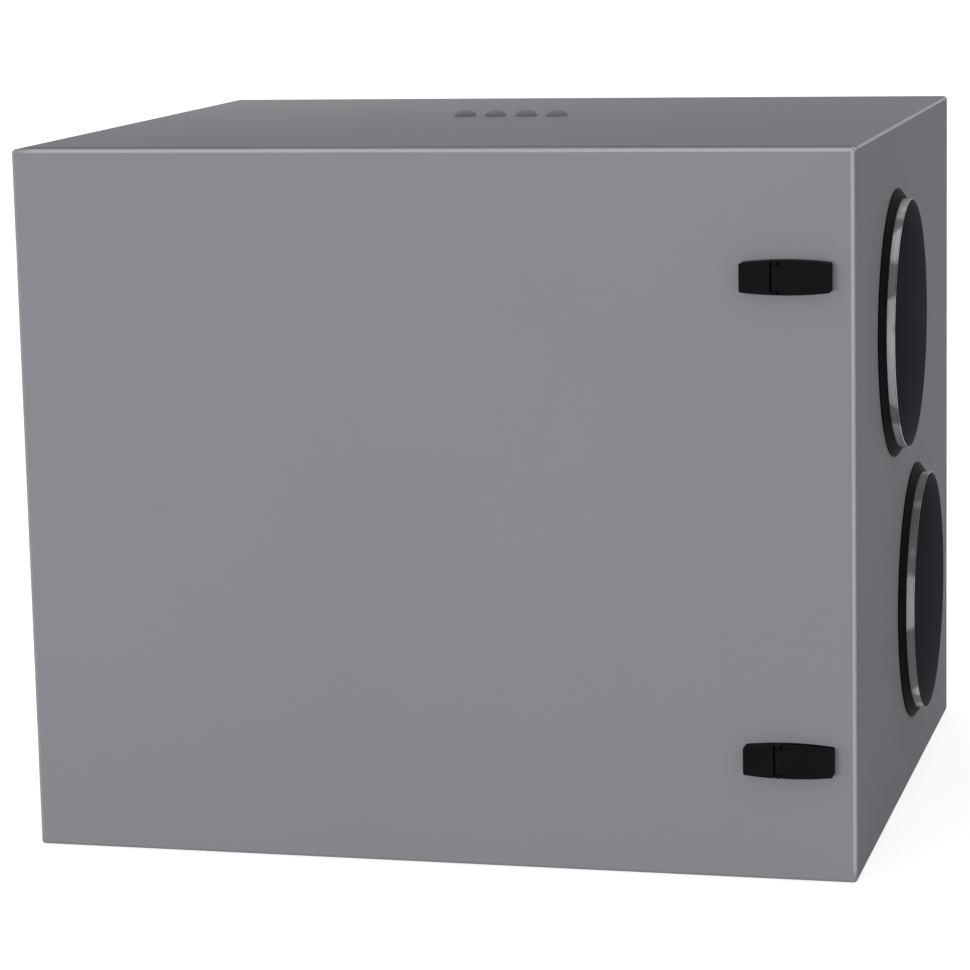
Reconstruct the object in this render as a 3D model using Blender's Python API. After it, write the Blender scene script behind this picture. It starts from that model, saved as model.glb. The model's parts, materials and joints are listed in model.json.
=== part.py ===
"""Air handling unit with round duct connections: a free-standing insulated cabinet.

Metres, +Z up. The origin is the centre of the base's underside, X runs along the
width with two duct collars on each end, and the door faces -Y.
"""

import math

import bmesh
import bpy
from mathutils import Matrix, Vector

# Cabinet
WIDTH = 1.040
DEPTH = 0.900
HEIGHT = 0.880
WALL = 0.050
CORNER_ROUND = 0.0045
CORNER_STEPS = 3
EDGE_ROUND = 0.0012
SEAT_GAP = 0.0003
MITRE_GAP = 0.0003

# Door
DOOR_RIM = 0.022
DOOR_GAP = 0.008
PLUG_DEPTH = 0.024
PLUG_CLEARANCE = 0.006
GASKET_INSET = 0.034
GASKET_WIDTH = 0.011
GASKET_THICKNESS = 0.0027

# Hinges, hidden in pockets in the door's left edge
HINGE_INSET = 0.009
HINGE_HEIGHT = 0.130
BARREL_RADIUS = 0.006
BARREL_LENGTH = 0.030
HINGE_PIN_RADIUS = 0.004
HINGE_PIN_LENGTH = 0.018
HINGE_PIN_CLEARANCE = 0.0003
HINGE_ARM_WIDTH = 0.006
HINGE_LEAF_WIDTH = 0.024
HINGE_LEAF_HEIGHT = 0.070
HINGE_LEAF_THICKNESS = 0.0025
POCKET_CLEARANCE = 0.0015
POCKET_SKIN = 0.002
POCKET_ROOM = 0.009

# Latches
LATCH_LENGTH = 0.108
LATCH_END_HEIGHT = 0.034
LATCH_MIDDLE_HEIGHT = 0.0405
LATCH_CORNER = 0.0026
LATCH_DEPTH = 0.018
LATCH_PLATE = 0.004
LATCH_FROM_RIGHT = 0.080
LATCH_FROM_END = 0.150
LATCH_BLOCK_LENGTH = 0.0365
LEVER_THICKNESS = 0.009
LEVER_SEAM = 0.001
LATCH_EAR = 0.0045
LATCH_PIN_RADIUS = 0.0016
LATCH_PIN_CLEARANCE = 0.0004
KEEPER_WIDTH = 0.024
KEEPER_HEIGHT = 0.060
KEEPER_THICKNESS = 0.0025
KEEPER_INSET = 0.006

# Duct collars
COLLAR_RADIUS = 0.157
COLLAR_WALL = 0.002
COLLAR_PROJECTION = 0.0195
COLLAR_FROM_END = 0.250
COLLAR_SPACING = 0.4205
SEAL_RADIUS = 0.1695
SEAL_LIP = 0.003
SEAL_LENGTH = 0.0095
ROUND_STEPS = 48

# Cable glands in the top panel
GLAND_COUNT = 4
GLAND_PITCH = 0.042
GLAND_ROW_X = -0.020
GLAND_FROM_FRONT = 0.540
GLAND_RADIUS = 0.015
GLAND_FLANGE = 0.002
GLAND_DOME = 0.007
GLAND_HOLE_RADIUS = 0.0105
GLAND_NECK = 0.012
GLAND_STEPS = 16
GLAND_DOME_STEPS = 5

# Plate heat exchanger, standing on its corner, and the sheets that hold it
EXCHANGER_FOOT_ROOM = 0.0577
EXCHANGER_HEAD_ROOM = 0.0147
EXCHANGER_SIDE_ROOM = 0.010
EXCHANGER_LAYERS = 30
EXCHANGER_GROOVE = 0.006
EXCHANGER_END_PLATE = 0.003
DIVIDER_SHEET = 0.003
RAIL_LEG = 0.030
INNER_FRONT_GAP = 0.012
INNER_BACK_GAP = 0.008

# Filters in the two upper chambers
FILTER_THICKNESS = 0.048
FILTER_FROM_SIDE = 0.087
FILTER_BORDER = 0.018
PLEAT_PITCH = 0.024
PLEAT_SHEET = 0.003

# Fans in the two lower chambers
FAN_PLATE_INSET = 0.035
FAN_PLATE_THICKNESS = 0.003
FAN_PLATE_TOP_GAP = 0.0015
INLET_RADIUS = 0.090
NOZZLE_SHEET = 0.002
NOZZLE_CURL = 0.014
NOZZLE_REACH = 0.004
NOZZLE_LAP = 0.004
NOZZLE_STEPS = 3
SHROUD_DEPTH = 0.024
SHROUD_STEPS = 4
FAN_STEPS = 28
IMPELLER_RADIUS = 0.140
IMPELLER_WIDTH = 0.085
IMPELLER_SHEET = 0.002
BLADE_COUNT = 7
BLADE_SHEET = 0.003
BLADE_SWEEP = math.radians(55)
BLADE_STEPS = 6
BLADE_FOOT_RADIUS = 0.0855
BLADE_TIP_INSET = 0.003
BLADE_LEAD = 0.010
FAN_RUNNING_GAP = 0.004
MOTOR_RADIUS = 0.050
MOTOR_LENGTH = 0.034
MOTOR_PLATE_BORDER = 0.010
STAY_RADIUS = 0.005
STAY_OFFSET = 0.112

# Drain tray and control box
TRAY_SIDE_ROOM = 0.020
TRAY_HEIGHT = 0.025
TRAY_SHEET = 0.002
CONTROL_BOX_LENGTH = 0.315
CONTROL_BOX_DEPTH = 0.160
CONTROL_BOX_HEIGHT = 0.055

# Places worked out from the sizes
SIDE_X = WIDTH / 2
FRONT_Y = -DEPTH / 2
BACK_Y = DEPTH / 2
RIM_Y = FRONT_Y + DOOR_RIM
CASE_FRONT_Y = RIM_Y + DOOR_GAP
PLUG_Y = CASE_FRONT_Y + PLUG_DEPTH
INNER_X = SIDE_X - WALL
INNER_BACK_Y = BACK_Y - WALL
INNER_TOP_Z = HEIGHT - WALL
CHAMBER_FRONT_Y = PLUG_Y + INNER_FRONT_GAP
CHAMBER_BACK_Y = INNER_BACK_Y - SEAT_GAP
HINGE_X = -SIDE_X + HINGE_INSET
HINGE_Y = FRONT_Y + HINGE_INSET
HINGE_ZS = {"lower": HINGE_HEIGHT, "upper": HEIGHT - HINGE_HEIGHT}
LATCH_X = SIDE_X - LATCH_FROM_RIGHT
LATCH_ZS = {"lower": LATCH_FROM_END, "upper": HEIGHT - LATCH_FROM_END}
LEVER_RADIUS = LEVER_THICKNESS / 2
LEVER_AXIS_X = LATCH_X - LATCH_LENGTH / 2 + LATCH_BLOCK_LENGTH + LEVER_SEAM + LEVER_RADIUS
LEVER_AXIS_Y = FRONT_Y - LATCH_DEPTH + LEVER_RADIUS
GLAND_Y = FRONT_Y + GLAND_FROM_FRONT
COLLAR_RISE = HEIGHT / 2 - COLLAR_FROM_END
COLLAR_Y = math.sqrt(max(0.0, (COLLAR_SPACING / 2) ** 2 - COLLAR_RISE**2))
COLLAR_PLACES = {
    "upper": (-COLLAR_Y, HEIGHT - COLLAR_FROM_END),
    "lower": (COLLAR_Y, COLLAR_FROM_END),
}
TRAY_FLOOR_Z = WALL + SEAT_GAP + TRAY_SHEET
EXCHANGER_LOW_Z = TRAY_FLOOR_Z + EXCHANGER_FOOT_ROOM
EXCHANGER_HIGH_Z = INNER_TOP_Z - SEAT_GAP - CONTROL_BOX_HEIGHT - EXCHANGER_HEAD_ROOM
EXCHANGER_CENTRE_Z = (EXCHANGER_LOW_Z + EXCHANGER_HIGH_Z) / 2
EXCHANGER_HALF_DIAGONAL = min(
    (EXCHANGER_HIGH_Z - EXCHANGER_LOW_Z) / 2,
    INNER_X - FILTER_FROM_SIDE - FILTER_THICKNESS - EXCHANGER_SIDE_ROOM,
)
FAN_PLATE_X = EXCHANGER_HALF_DIAGONAL - FAN_PLATE_INSET
FAN_CENTRE_Y = COLLAR_Y
FAN_CENTRE_Z = (WALL + EXCHANGER_CENTRE_Z) / 2
TRAY_HALF_WIDTH = FAN_PLATE_X - TRAY_SIDE_ROOM
SIDES = {"left": -1, "right": 1}

# Facets of small round parts
EYE_STEPS = 24
PIN_STEPS = 16
STAY_STEPS = 12


def clear_scene():
    for old in list(bpy.data.objects):
        bpy.data.objects.remove(old, do_unlink=True)


def make_material(name, colour, roughness, metallic=0.0):
    made = bpy.data.materials.new(name)
    made.use_nodes = True
    shader = made.node_tree.nodes["Principled BSDF"]
    shader.inputs["Base Color"].default_value = (*colour, 1.0)
    shader.inputs["Roughness"].default_value = roughness
    shader.inputs["Metallic"].default_value = metallic
    made.diffuse_color = (*colour, 1.0)
    return made


def make_materials():
    return {
        "casing paint": make_material("casing paint", (0.24, 0.245, 0.26), 0.35),
        "door paint": make_material("door paint", (0.25, 0.255, 0.27), 0.38),
        "galvanised steel": make_material("galvanised steel", (0.55, 0.56, 0.57), 0.35, 0.9),
        "aluminium": make_material("aluminium", (0.75, 0.76, 0.77), 0.3, 1.0),
        "black rubber": make_material("black rubber", (0.012, 0.012, 0.013), 0.75),
        "black plastic": make_material("black plastic", (0.012, 0.011, 0.012), 0.4),
        "grey rubber": make_material("grey rubber", (0.2, 0.2, 0.21), 0.6),
        "filter cloth": make_material("filter cloth", (0.75, 0.76, 0.74), 0.95),
    }


def add_object(name, mesh_maker, location=(0, 0, 0), parent=None):
    """An object whose mesh is drawn round its own location."""
    mesh = bpy.data.meshes.new(name)
    bmesh.ops.recalc_face_normals(mesh_maker, faces=mesh_maker.faces[:])
    mesh_maker.to_mesh(mesh)
    mesh_maker.free()
    made = bpy.data.objects.new(name, mesh)
    bpy.context.scene.collection.objects.link(made)
    made.location = location
    if parent is not None:
        made.parent = parent
        made.matrix_parent_inverse = Matrix.Translation(-parent.location)
    return made


def add_empty(name, location, parent=None):
    made = bpy.data.objects.new(name, None)
    bpy.context.scene.collection.objects.link(made)
    made.location = location
    if parent is not None:
        made.parent = parent
        made.matrix_parent_inverse = Matrix.Translation(-parent.location)
    return made


def paint(made, material):
    made.data.materials.clear()
    made.data.materials.append(material)
    made.data.shade_smooth()
    made.data.set_sharp_from_angle(angle=math.radians(30))
    return made


def as_cutter(made):
    made.hide_render = True
    made.display_type = "WIRE"
    return made


def cut(target, cutter):
    step = target.modifiers.new("Cut", "BOOLEAN")
    step.operation = "DIFFERENCE"
    step.solver = "EXACT"
    step.object = as_cutter(cutter)


def join(target, other):
    step = target.modifiers.new("Join", "BOOLEAN")
    step.operation = "UNION"
    step.solver = "EXACT"
    step.object = as_cutter(other)


def keep_within(target, limit):
    step = target.modifiers.new("Rounded outline", "BOOLEAN")
    step.operation = "INTERSECT"
    step.solver = "EXACT"
    step.object = as_cutter(limit)


def soften(made, width, segments=2):
    step = made.modifiers.new("Edge round", "BEVEL")
    step.width = width
    step.segments = segments
    step.limit_method = "ANGLE"
    step.angle_limit = math.radians(30)


def box_mesh(low, high):
    shape = bmesh.new()
    bmesh.ops.create_cube(shape, size=1.0)
    low = Vector(low)
    high = Vector(high)
    for vert in shape.verts:
        vert.co = Vector(
            low[i] + (vert.co[i] + 0.5) * (high[i] - low[i]) for i in range(3)
        )
    return shape


def hexahedron_mesh(outer, inner):
    """A slab between two quads whose corners are listed in the same turn."""
    shape = bmesh.new()
    outer = [shape.verts.new(point) for point in outer]
    inner = [shape.verts.new(point) for point in inner]
    shape.faces.new(outer)
    shape.faces.new(reversed(inner))
    for i in range(4):
        j = (i + 1) % 4
        shape.faces.new((outer[i], inner[i], inner[j], outer[j]))
    return shape


def prism_mesh(outline, axis, low, high):
    """The closed outline, drawn in the two other axes in X, Y, Z order, from low to high along axis."""
    shape = bmesh.new()

    def point(pair, along):
        coords = list(pair)
        coords.insert("xyz".index(axis), along)
        return shape.verts.new(coords)

    near = [point(pair, low) for pair in outline]
    far = [point(pair, high) for pair in outline]
    shape.faces.new(near)
    shape.faces.new(reversed(far))
    for i in range(len(near)):
        j = (i + 1) % len(near)
        shape.faces.new((near[i], far[i], far[j], near[j]))
    return shape


def turned_mesh(profile, axis, steps):
    """A closed profile of (along, radius) pairs turned round an axis. Radius 0 closes on the axis."""
    shape = bmesh.new()
    turns = []
    for step in range(steps):
        angle = 2 * math.pi * step / steps
        ring = []
        for along, radius in profile:
            if radius == 0 and turns:
                ring.append(turns[0][len(ring)])
                continue
            flat = [radius * math.cos(angle), radius * math.sin(angle)]
            flat.insert("xyz".index(axis), along)
            ring.append(shape.verts.new(flat))
        turns.append(ring)
    count = len(profile)
    for step in range(steps):
        this = turns[step]
        following = turns[(step + 1) % steps]
        for i in range(count):
            j = (i + 1) % count
            corners = []
            for vert in (this[i], this[j], following[j], following[i]):
                if vert not in corners:
                    corners.append(vert)
            if len(corners) > 2:
                shape.faces.new(corners)
    return shape


def cylinder_mesh(axis, radius, low, high, steps, centre=(0, 0)):
    """A closed cylinder. The centre is given in the two other axes."""
    outline = [
        (
            centre[0] + radius * math.cos(2 * math.pi * i / steps),
            centre[1] + radius * math.sin(2 * math.pi * i / steps),
        )
        for i in range(steps)
    ]
    return prism_mesh(outline, axis, low, high)


def mitred_panel(name, outward, low, high, mitred, material):
    """A wall panel whose listed sides are cut at 45 degrees, so that its seams lie on the cabinet's edges.

    outward is (axis, sign) of the outer face; low and high are the outer face's corners
    in the two other axes; mitred names its mitred sides as (axis, sign) pairs.
    """
    axis, sign = outward
    index = "xyz".index(axis)
    others = [i for i in range(3) if i != index]
    reach = {"x": SIDE_X, "y": BACK_Y, "z": HEIGHT if sign > 0 else 0.0}[axis]
    face = sign * reach if axis != "z" else reach
    back = face - sign * WALL
    trim = MITRE_GAP / math.sqrt(2)

    def quad(along, inset):
        lo = list(low)
        hi = list(high)
        for k, other in enumerate(others):
            if ("xyz"[other], -1) in mitred:
                lo[k] += inset + trim
            if ("xyz"[other], 1) in mitred:
                hi[k] -= inset + trim
        points = []
        for pair in ((lo[0], lo[1]), (hi[0], lo[1]), (hi[0], hi[1]), (lo[0], hi[1])):
            coords = list(pair)
            coords.insert(index, along)
            points.append(Vector(coords))
        return points

    outer = quad(face, 0.0)
    inner = quad(back, WALL)
    centre = sum(outer + inner, Vector()) / 8
    shape = hexahedron_mesh([p - centre for p in outer], [p - centre for p in inner])
    made = add_object(name, shape, centre)
    paint(made, material)
    outline = rounded_outline(f"{name}_outline", CASE_FRONT_Y - WALL, BACK_Y)
    keep_within(made, outline)
    return made


def rounded_outline(name, front, back):
    """The unit's outer shape with rounded edges, from front to back, as a limit for the parts inside it."""
    made = add_object(name, box_mesh((-SIDE_X, front, 0), (SIDE_X, back, HEIGHT)))
    soften(made, CORNER_ROUND, CORNER_STEPS)
    return made


def make_cabinet(materials):
    paint_grey = materials["casing paint"]
    across = (-SIDE_X, SIDE_X)
    deep = (CASE_FRONT_Y, BACK_Y)
    tall = (0.0, HEIGHT)
    mitred_panel(
        "base_panel",
        ("z", -1),
        (across[0], deep[0]),
        (across[1], deep[1]),
        {("x", -1), ("x", 1), ("y", 1)},
        paint_grey,
    )
    top = mitred_panel(
        "top_panel",
        ("z", 1),
        (across[0], deep[0]),
        (across[1], deep[1]),
        {("x", -1), ("x", 1), ("y", 1)},
        paint_grey,
    )
    mitred_panel(
        "back_panel",
        ("y", 1),
        (across[0], tall[0]),
        (across[1], tall[1]),
        {("x", -1), ("x", 1), ("z", -1), ("z", 1)},
        paint_grey,
    )
    for side, sign in SIDES.items():
        wall = mitred_panel(
            f"{side}_side_panel",
            ("x", sign),
            (deep[0], tall[0]),
            (deep[1], tall[1]),
            {("y", 1), ("z", -1), ("z", 1)},
            paint_grey,
        )
        for place, centre in COLLAR_PLACES.items():
            hole = cylinder_mesh(
                "x", COLLAR_RADIUS + SEAT_GAP, -WALL, WALL, ROUND_STEPS
            )
            drill = add_object(
                f"{side}_{place}_hole", hole, (sign * (SIDE_X - WALL / 2), *centre)
            )
            cut(wall, drill)
    for number, x in enumerate(gland_row(), 1):
        hole = cylinder_mesh("z", GLAND_HOLE_RADIUS, -WALL, WALL, GLAND_STEPS)
        cut(top, add_object(f"gland_hole_{number}", hole, (x, GLAND_Y, HEIGHT - WALL / 2)))


def gland_row():
    first = GLAND_ROW_X - (GLAND_COUNT - 1) / 2 * GLAND_PITCH
    return [first + i * GLAND_PITCH for i in range(GLAND_COUNT)]


def make_collars(materials):
    """Each duct collar goes through the wall, with a tapered rubber seal round it outside."""
    start = -WALL
    tip = COLLAR_PROJECTION
    inner = COLLAR_RADIUS - COLLAR_WALL
    collar_profile = [(start, inner), (tip, inner), (tip, COLLAR_RADIUS), (start, COLLAR_RADIUS)]
    seal_inner = COLLAR_RADIUS + SEAT_GAP
    seal_profile = [
        (SEAT_GAP, seal_inner),
        (SEAL_LENGTH, seal_inner),
        (SEAL_LENGTH, seal_inner + SEAL_LIP),
        (SEAL_LIP, SEAL_RADIUS),
        (SEAT_GAP, SEAL_RADIUS),
    ]
    for side, sign in SIDES.items():
        for place, centre in COLLAR_PLACES.items():
            at = (sign * SIDE_X, *centre)
            for name, profile, finish in (
                ("duct_collar", collar_profile, "galvanised steel"),
                ("collar_seal", seal_profile, "black rubber"),
            ):
                outline = [(sign * along, radius) for along, radius in profile]
                shape = turned_mesh(outline, "x", ROUND_STEPS)
                made = add_object(f"{name}_{side}_{place}", shape, at)
                paint(made, materials[finish])


def make_glands(materials):
    """Cable glands: a domed rubber bush whose flange rests on the top panel and whose neck goes in its hole."""
    rim = GLAND_RADIUS - GLAND_FLANGE
    neck = GLAND_HOLE_RADIUS - SEAT_GAP
    profile = [(-GLAND_NECK, 0.0), (-GLAND_NECK, neck), (SEAT_GAP, neck), (SEAT_GAP, GLAND_RADIUS)]
    profile.append((GLAND_FLANGE, GLAND_RADIUS))
    for step in range(GLAND_DOME_STEPS):
        turn = math.pi / 2 * step / GLAND_DOME_STEPS
        profile.append((GLAND_FLANGE + GLAND_DOME * math.sin(turn), rim * math.cos(turn)))
    profile.append((GLAND_FLANGE + GLAND_DOME, 0.0))
    for number, x in enumerate(gland_row(), 1):
        made = add_object(
            f"cable_gland_{number}", turned_mesh(profile, "z", GLAND_STEPS), (x, GLAND_Y, HEIGHT)
        )
        paint(made, materials["grey rubber"])


def make_gasket(materials):
    outer_x = SIDE_X - GASKET_INSET
    low_z = GASKET_INSET
    high_z = HEIGHT - GASKET_INSET
    back = CASE_FRONT_Y - SEAT_GAP
    front = back - GASKET_THICKNESS
    ring = add_object(
        "door_gasket", box_mesh((-outer_x, front, low_z), (outer_x, back, high_z))
    )
    hole = box_mesh(
        (-outer_x + GASKET_WIDTH, front - WALL, low_z + GASKET_WIDTH),
        (outer_x - GASKET_WIDTH, back + WALL, high_z - GASKET_WIDTH),
    )
    cut(ring, add_object("gasket_opening", hole))
    paint(ring, materials["black rubber"])


def make_hinge_brackets(materials):
    """A leaf on the cabinet's left front edge, with an arm, a barrel and a pin that stands up into the door."""
    leaf_back = CASE_FRONT_Y - SEAT_GAP
    leaf_front = leaf_back - HINGE_LEAF_THICKNESS
    leaf_left = -SIDE_X + EDGE_ROUND + POCKET_CLEARANCE
    half_arm = HINGE_ARM_WIDTH / 2
    for place, z in HINGE_ZS.items():
        at = (HINGE_X, HINGE_Y, z)
        leaf = box_mesh(
            (leaf_left - HINGE_X, leaf_front - HINGE_Y, -HINGE_LEAF_HEIGHT / 2),
            (leaf_left + HINGE_LEAF_WIDTH - HINGE_X, leaf_back - HINGE_Y, HINGE_LEAF_HEIGHT / 2),
        )
        made = add_object(f"hinge_bracket_{place}", leaf, at)
        arm = box_mesh(
            (-half_arm, 0, -BARREL_LENGTH / 2),
            (half_arm, leaf_front - HINGE_Y + HINGE_LEAF_THICKNESS / 2, BARREL_LENGTH / 2),
        )
        join(made, add_object(f"hinge_arm_{place}", arm, at))
        barrel = cylinder_mesh("z", BARREL_RADIUS, -BARREL_LENGTH / 2, BARREL_LENGTH / 2, EYE_STEPS)
        join(made, add_object(f"hinge_barrel_{place}", barrel, at))
        top = BARREL_LENGTH / 2 + HINGE_PIN_LENGTH
        pin = cylinder_mesh("z", HINGE_PIN_RADIUS, 0, top, PIN_STEPS)
        join(made, add_object(f"hinge_pin_{place}", pin, at))
        paint(made, materials["galvanised steel"])


def make_keepers(materials):
    """Steel strike plates for the latches, on the cabinet's right front edge."""
    back = CASE_FRONT_Y - SEAT_GAP
    for place, z in LATCH_ZS.items():
        right = SIDE_X - KEEPER_INSET
        shape = box_mesh(
            (right - KEEPER_WIDTH, back - KEEPER_THICKNESS, z - KEEPER_HEIGHT / 2),
            (right, back, z + KEEPER_HEIGHT / 2),
        )
        made = add_object(f"latch_keeper_{place}", shape)
        paint(made, materials["galvanised steel"])


def make_door(materials, axis):
    """A double-skin door: a tray over the whole front, and an insulated plug that enters the opening."""
    front = box_mesh((-SIDE_X, FRONT_Y, 0), (SIDE_X, RIM_Y, HEIGHT))
    door = add_object("door_panel", front, parent=axis)
    outline = rounded_outline("door_outline", FRONT_Y, RIM_Y + WALL)
    outline.parent = axis
    outline.matrix_parent_inverse = Matrix.Translation(-axis.location)
    keep_within(door, outline)
    inset = WALL + PLUG_CLEARANCE
    overlap = DOOR_RIM / 2
    plug = add_object(
        "door_plug",
        box_mesh((-SIDE_X + inset, RIM_Y - overlap, inset), (SIDE_X - inset, PLUG_Y, HEIGHT - inset)),
        parent=axis,
    )
    join(door, plug)
    for place, z in HINGE_ZS.items():
        room = BARREL_LENGTH / 2 + POCKET_CLEARANCE
        pocket = box_mesh(
            (-SIDE_X - WALL, FRONT_Y + POCKET_SKIN, z - room),
            (HINGE_X + POCKET_ROOM, RIM_Y + DOOR_GAP / 2, z + room),
        )
        cut(door, add_object(f"hinge_pocket_{place}", pocket, parent=axis))
        bore = cylinder_mesh(
            "z",
            HINGE_PIN_RADIUS + HINGE_PIN_CLEARANCE,
            z,
            z + BARREL_LENGTH / 2 + HINGE_PIN_LENGTH + POCKET_CLEARANCE,
            PIN_STEPS,
            (HINGE_X, HINGE_Y),
        )
        cut(door, add_object(f"hinge_bore_{place}", bore, parent=axis))
    paint(door, materials["door paint"])


def latch_half_height(x):
    """Half the latch's height at x from its middle: the long sides bulge as shallow arcs."""
    half = LATCH_LENGTH / 2
    rise = (LATCH_MIDDLE_HEIGHT - LATCH_END_HEIGHT) / 2
    return LATCH_END_HEIGHT / 2 + rise * (1 - (x / half) ** 2)


def latch_outline(left, right, round_left, round_right):
    """The part of the latch's outline between two distances from its middle, as (x, z) pairs."""
    steps = 8
    corner_steps = 3
    upper = []
    start = left + (LATCH_CORNER if round_left else 0.0)
    end = right - (LATCH_CORNER if round_right else 0.0)
    if round_left:
        base = latch_half_height(start) - LATCH_CORNER
        for i in range(corner_steps):
            turn = math.pi - math.pi / 2 * i / corner_steps
            x = start + LATCH_CORNER * math.cos(turn)
            upper.append((x, base + LATCH_CORNER * math.sin(turn)))
    for i in range(steps + 1):
        x = start + (end - start) * i / steps
        upper.append((x, latch_half_height(x)))
    if round_right:
        base = latch_half_height(end) - LATCH_CORNER
        for i in range(1, corner_steps + 1):
            turn = math.pi / 2 - math.pi / 2 * i / corner_steps
            x = end + LATCH_CORNER * math.cos(turn)
            upper.append((x, base + LATCH_CORNER * math.sin(turn)))
    lower = [(x, -z) for x, z in reversed(upper)]
    return upper + lower


def make_latch(materials, place, z, door_axis):
    """A compression latch: a base with a raised block and two ears, and a lever that swings out on their pin."""
    half = LATCH_LENGTH / 2
    seat_y = FRONT_Y - SEAT_GAP
    face_y = FRONT_Y - LATCH_DEPTH
    at = (LATCH_X, 0, z)
    axis_x = LEVER_AXIS_X - LATCH_X
    block_right = -half + LATCH_BLOCK_LENGTH
    ear_high = latch_half_height(axis_x)
    plate = prism_mesh(
        latch_outline(-half, half, True, True), "y", FRONT_Y - LATCH_PLATE, seat_y
    )
    base = add_object(f"latch_base_{place}", plate, at, door_axis)
    block = prism_mesh(latch_outline(-half, block_right, True, False), "y", face_y, seat_y)
    join(base, add_object(f"latch_block_{place}", block, at, door_axis))
    for sign in (-1, 1):
        low, high = sorted((sign * (ear_high - LATCH_EAR), sign * ear_high))
        eye = cylinder_mesh("z", LEVER_RADIUS, low, high, EYE_STEPS, (axis_x, LEVER_AXIS_Y))
        join(base, add_object(f"latch_eye_{place}_{low:+.3f}", eye, at, door_axis))
        web = box_mesh(
            (block_right - LEVER_SEAM, LEVER_AXIS_Y, low), (axis_x + LEVER_RADIUS, seat_y, high)
        )
        join(base, add_object(f"latch_ear_{place}_{low:+.3f}", web, at, door_axis))
    middle = ear_high - LATCH_EAR / 2
    pin = cylinder_mesh("z", LATCH_PIN_RADIUS, -middle, middle, PIN_STEPS, (axis_x, LEVER_AXIS_Y))
    join(base, add_object(f"latch_pin_{place}", pin, at, door_axis))
    paint(base, materials["black plastic"])

    axis = add_empty(f"lever_axis_{place}", (LEVER_AXIS_X, LEVER_AXIS_Y, z), door_axis)
    lever_back = face_y + LEVER_THICKNESS
    lever_left = axis_x + LEVER_RADIUS + LEVER_SEAM
    handle = prism_mesh(
        latch_outline(lever_left, half, False, True), "y", face_y, lever_back
    )
    lever = add_object(f"latch_lever_{place}", handle, at, axis)
    knuckle_half = ear_high - LATCH_EAR - LEVER_SEAM
    knuckle = cylinder_mesh(
        "z", LEVER_RADIUS, -knuckle_half, knuckle_half, EYE_STEPS, (axis_x, LEVER_AXIS_Y)
    )
    join(lever, add_object(f"lever_knuckle_{place}", knuckle, at, axis))
    neck = box_mesh(
        (axis_x, face_y, -knuckle_half), (lever_left + LEVER_SEAM, lever_back, knuckle_half)
    )
    join(lever, add_object(f"lever_neck_{place}", neck, at, axis))
    bore = cylinder_mesh(
        "z", LATCH_PIN_RADIUS + LATCH_PIN_CLEARANCE, -half, half, PIN_STEPS, (axis_x, LEVER_AXIS_Y)
    )
    cut(lever, add_object(f"lever_bore_{place}", bore, at, axis))
    paint(lever, materials["black plastic"])


def layered_block_mesh(half, low_y, high_y):
    """A square block on its corner. By turns its layers stand back on one pair of faces or the other."""
    wide = half / math.sqrt(2)
    narrow = wide - EXCHANGER_GROOVE
    turn = Matrix.Rotation(math.pi / 4, 3, "Y")
    shape = bmesh.new()
    verts = {}

    def corner(level, p, q):
        if (level, p, q) not in verts:
            y = low_y + (high_y - low_y) * level / EXCHANGER_LAYERS
            verts[level, p, q] = shape.verts.new(turn @ Vector((p, y, q)))
        return verts[level, p, q]

    def face(points, swapped):
        shape.faces.new([corner(n, q, p) if swapped else corner(n, p, q) for n, p, q in points])

    across = (-wide, -narrow, narrow, wide)
    bar = ((narrow, -narrow), (wide, -narrow), (wide, narrow), (narrow, narrow))
    for layer in range(EXCHANGER_LAYERS):
        swapped = layer % 2 == 1
        for sign in (-1, 1):
            near = [(layer, p, sign * narrow) for p in across]
            far = [(layer + 1, p, sign * narrow) for p in reversed(across)]
            face(near + far, swapped)
            near = [(layer, sign * wide, q) for q in (-narrow, narrow)]
            far = [(layer + 1, sign * wide, q) for q in (narrow, -narrow)]
            face(near + far, swapped)
        for level in (layer, layer + 1):
            if level in (0, EXCHANGER_LAYERS):
                lower = [(level, p, -narrow) for p in across]
                upper = [(level, p, narrow) for p in reversed(across)]
                face(lower + upper, swapped)
            else:
                face([(level, p, q) for p, q in bar], swapped)
                face([(level, -p, q) for p, q in bar], swapped)
    return shape


def make_exchanger(materials):
    """A square block of plates standing on its corner, with an end plate at each end."""
    half = EXCHANGER_HALF_DIAGONAL
    front = CHAMBER_FRONT_Y + DIVIDER_SHEET
    back = CHAMBER_BACK_Y - INNER_BACK_GAP
    at = (0, 0, EXCHANGER_CENTRE_Z)

    def diamond(reach):
        return [(reach, 0), (0, reach), (-reach, 0), (0, -reach)]

    plate = EXCHANGER_END_PLATE
    core = layered_block_mesh(half, front + plate + SEAT_GAP, back - plate - SEAT_GAP)
    paint(add_object("exchanger_core", core, at), materials["aluminium"])
    for name, low in (("front", front), ("back", back - plate)):
        end = prism_mesh(diamond(half), "y", low, low + plate)
        made = add_object(f"exchanger_{name}_plate", end, at)
        paint(made, materials["galvanised steel"])


def rail_outline(length):
    """A sheet that ends in a V which holds a corner of the exchanger. The corner points along +u from 0."""
    sheet = DIVIDER_SHEET / 2
    leg = RAIL_LEG / math.sqrt(2)
    thick = DIVIDER_SHEET * math.sqrt(2)
    gap = SEAT_GAP * math.sqrt(2)
    return [
        (gap, 0),
        (gap - leg, leg),
        (gap - leg + thick / 2, leg + thick / 2),
        (gap + thick - sheet, sheet),
        (length, sheet),
        (length, -sheet),
        (gap + thick - sheet, -sheet),
        (gap - leg + thick / 2, -leg - thick / 2),
        (gap - leg, -leg),
    ]


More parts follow.
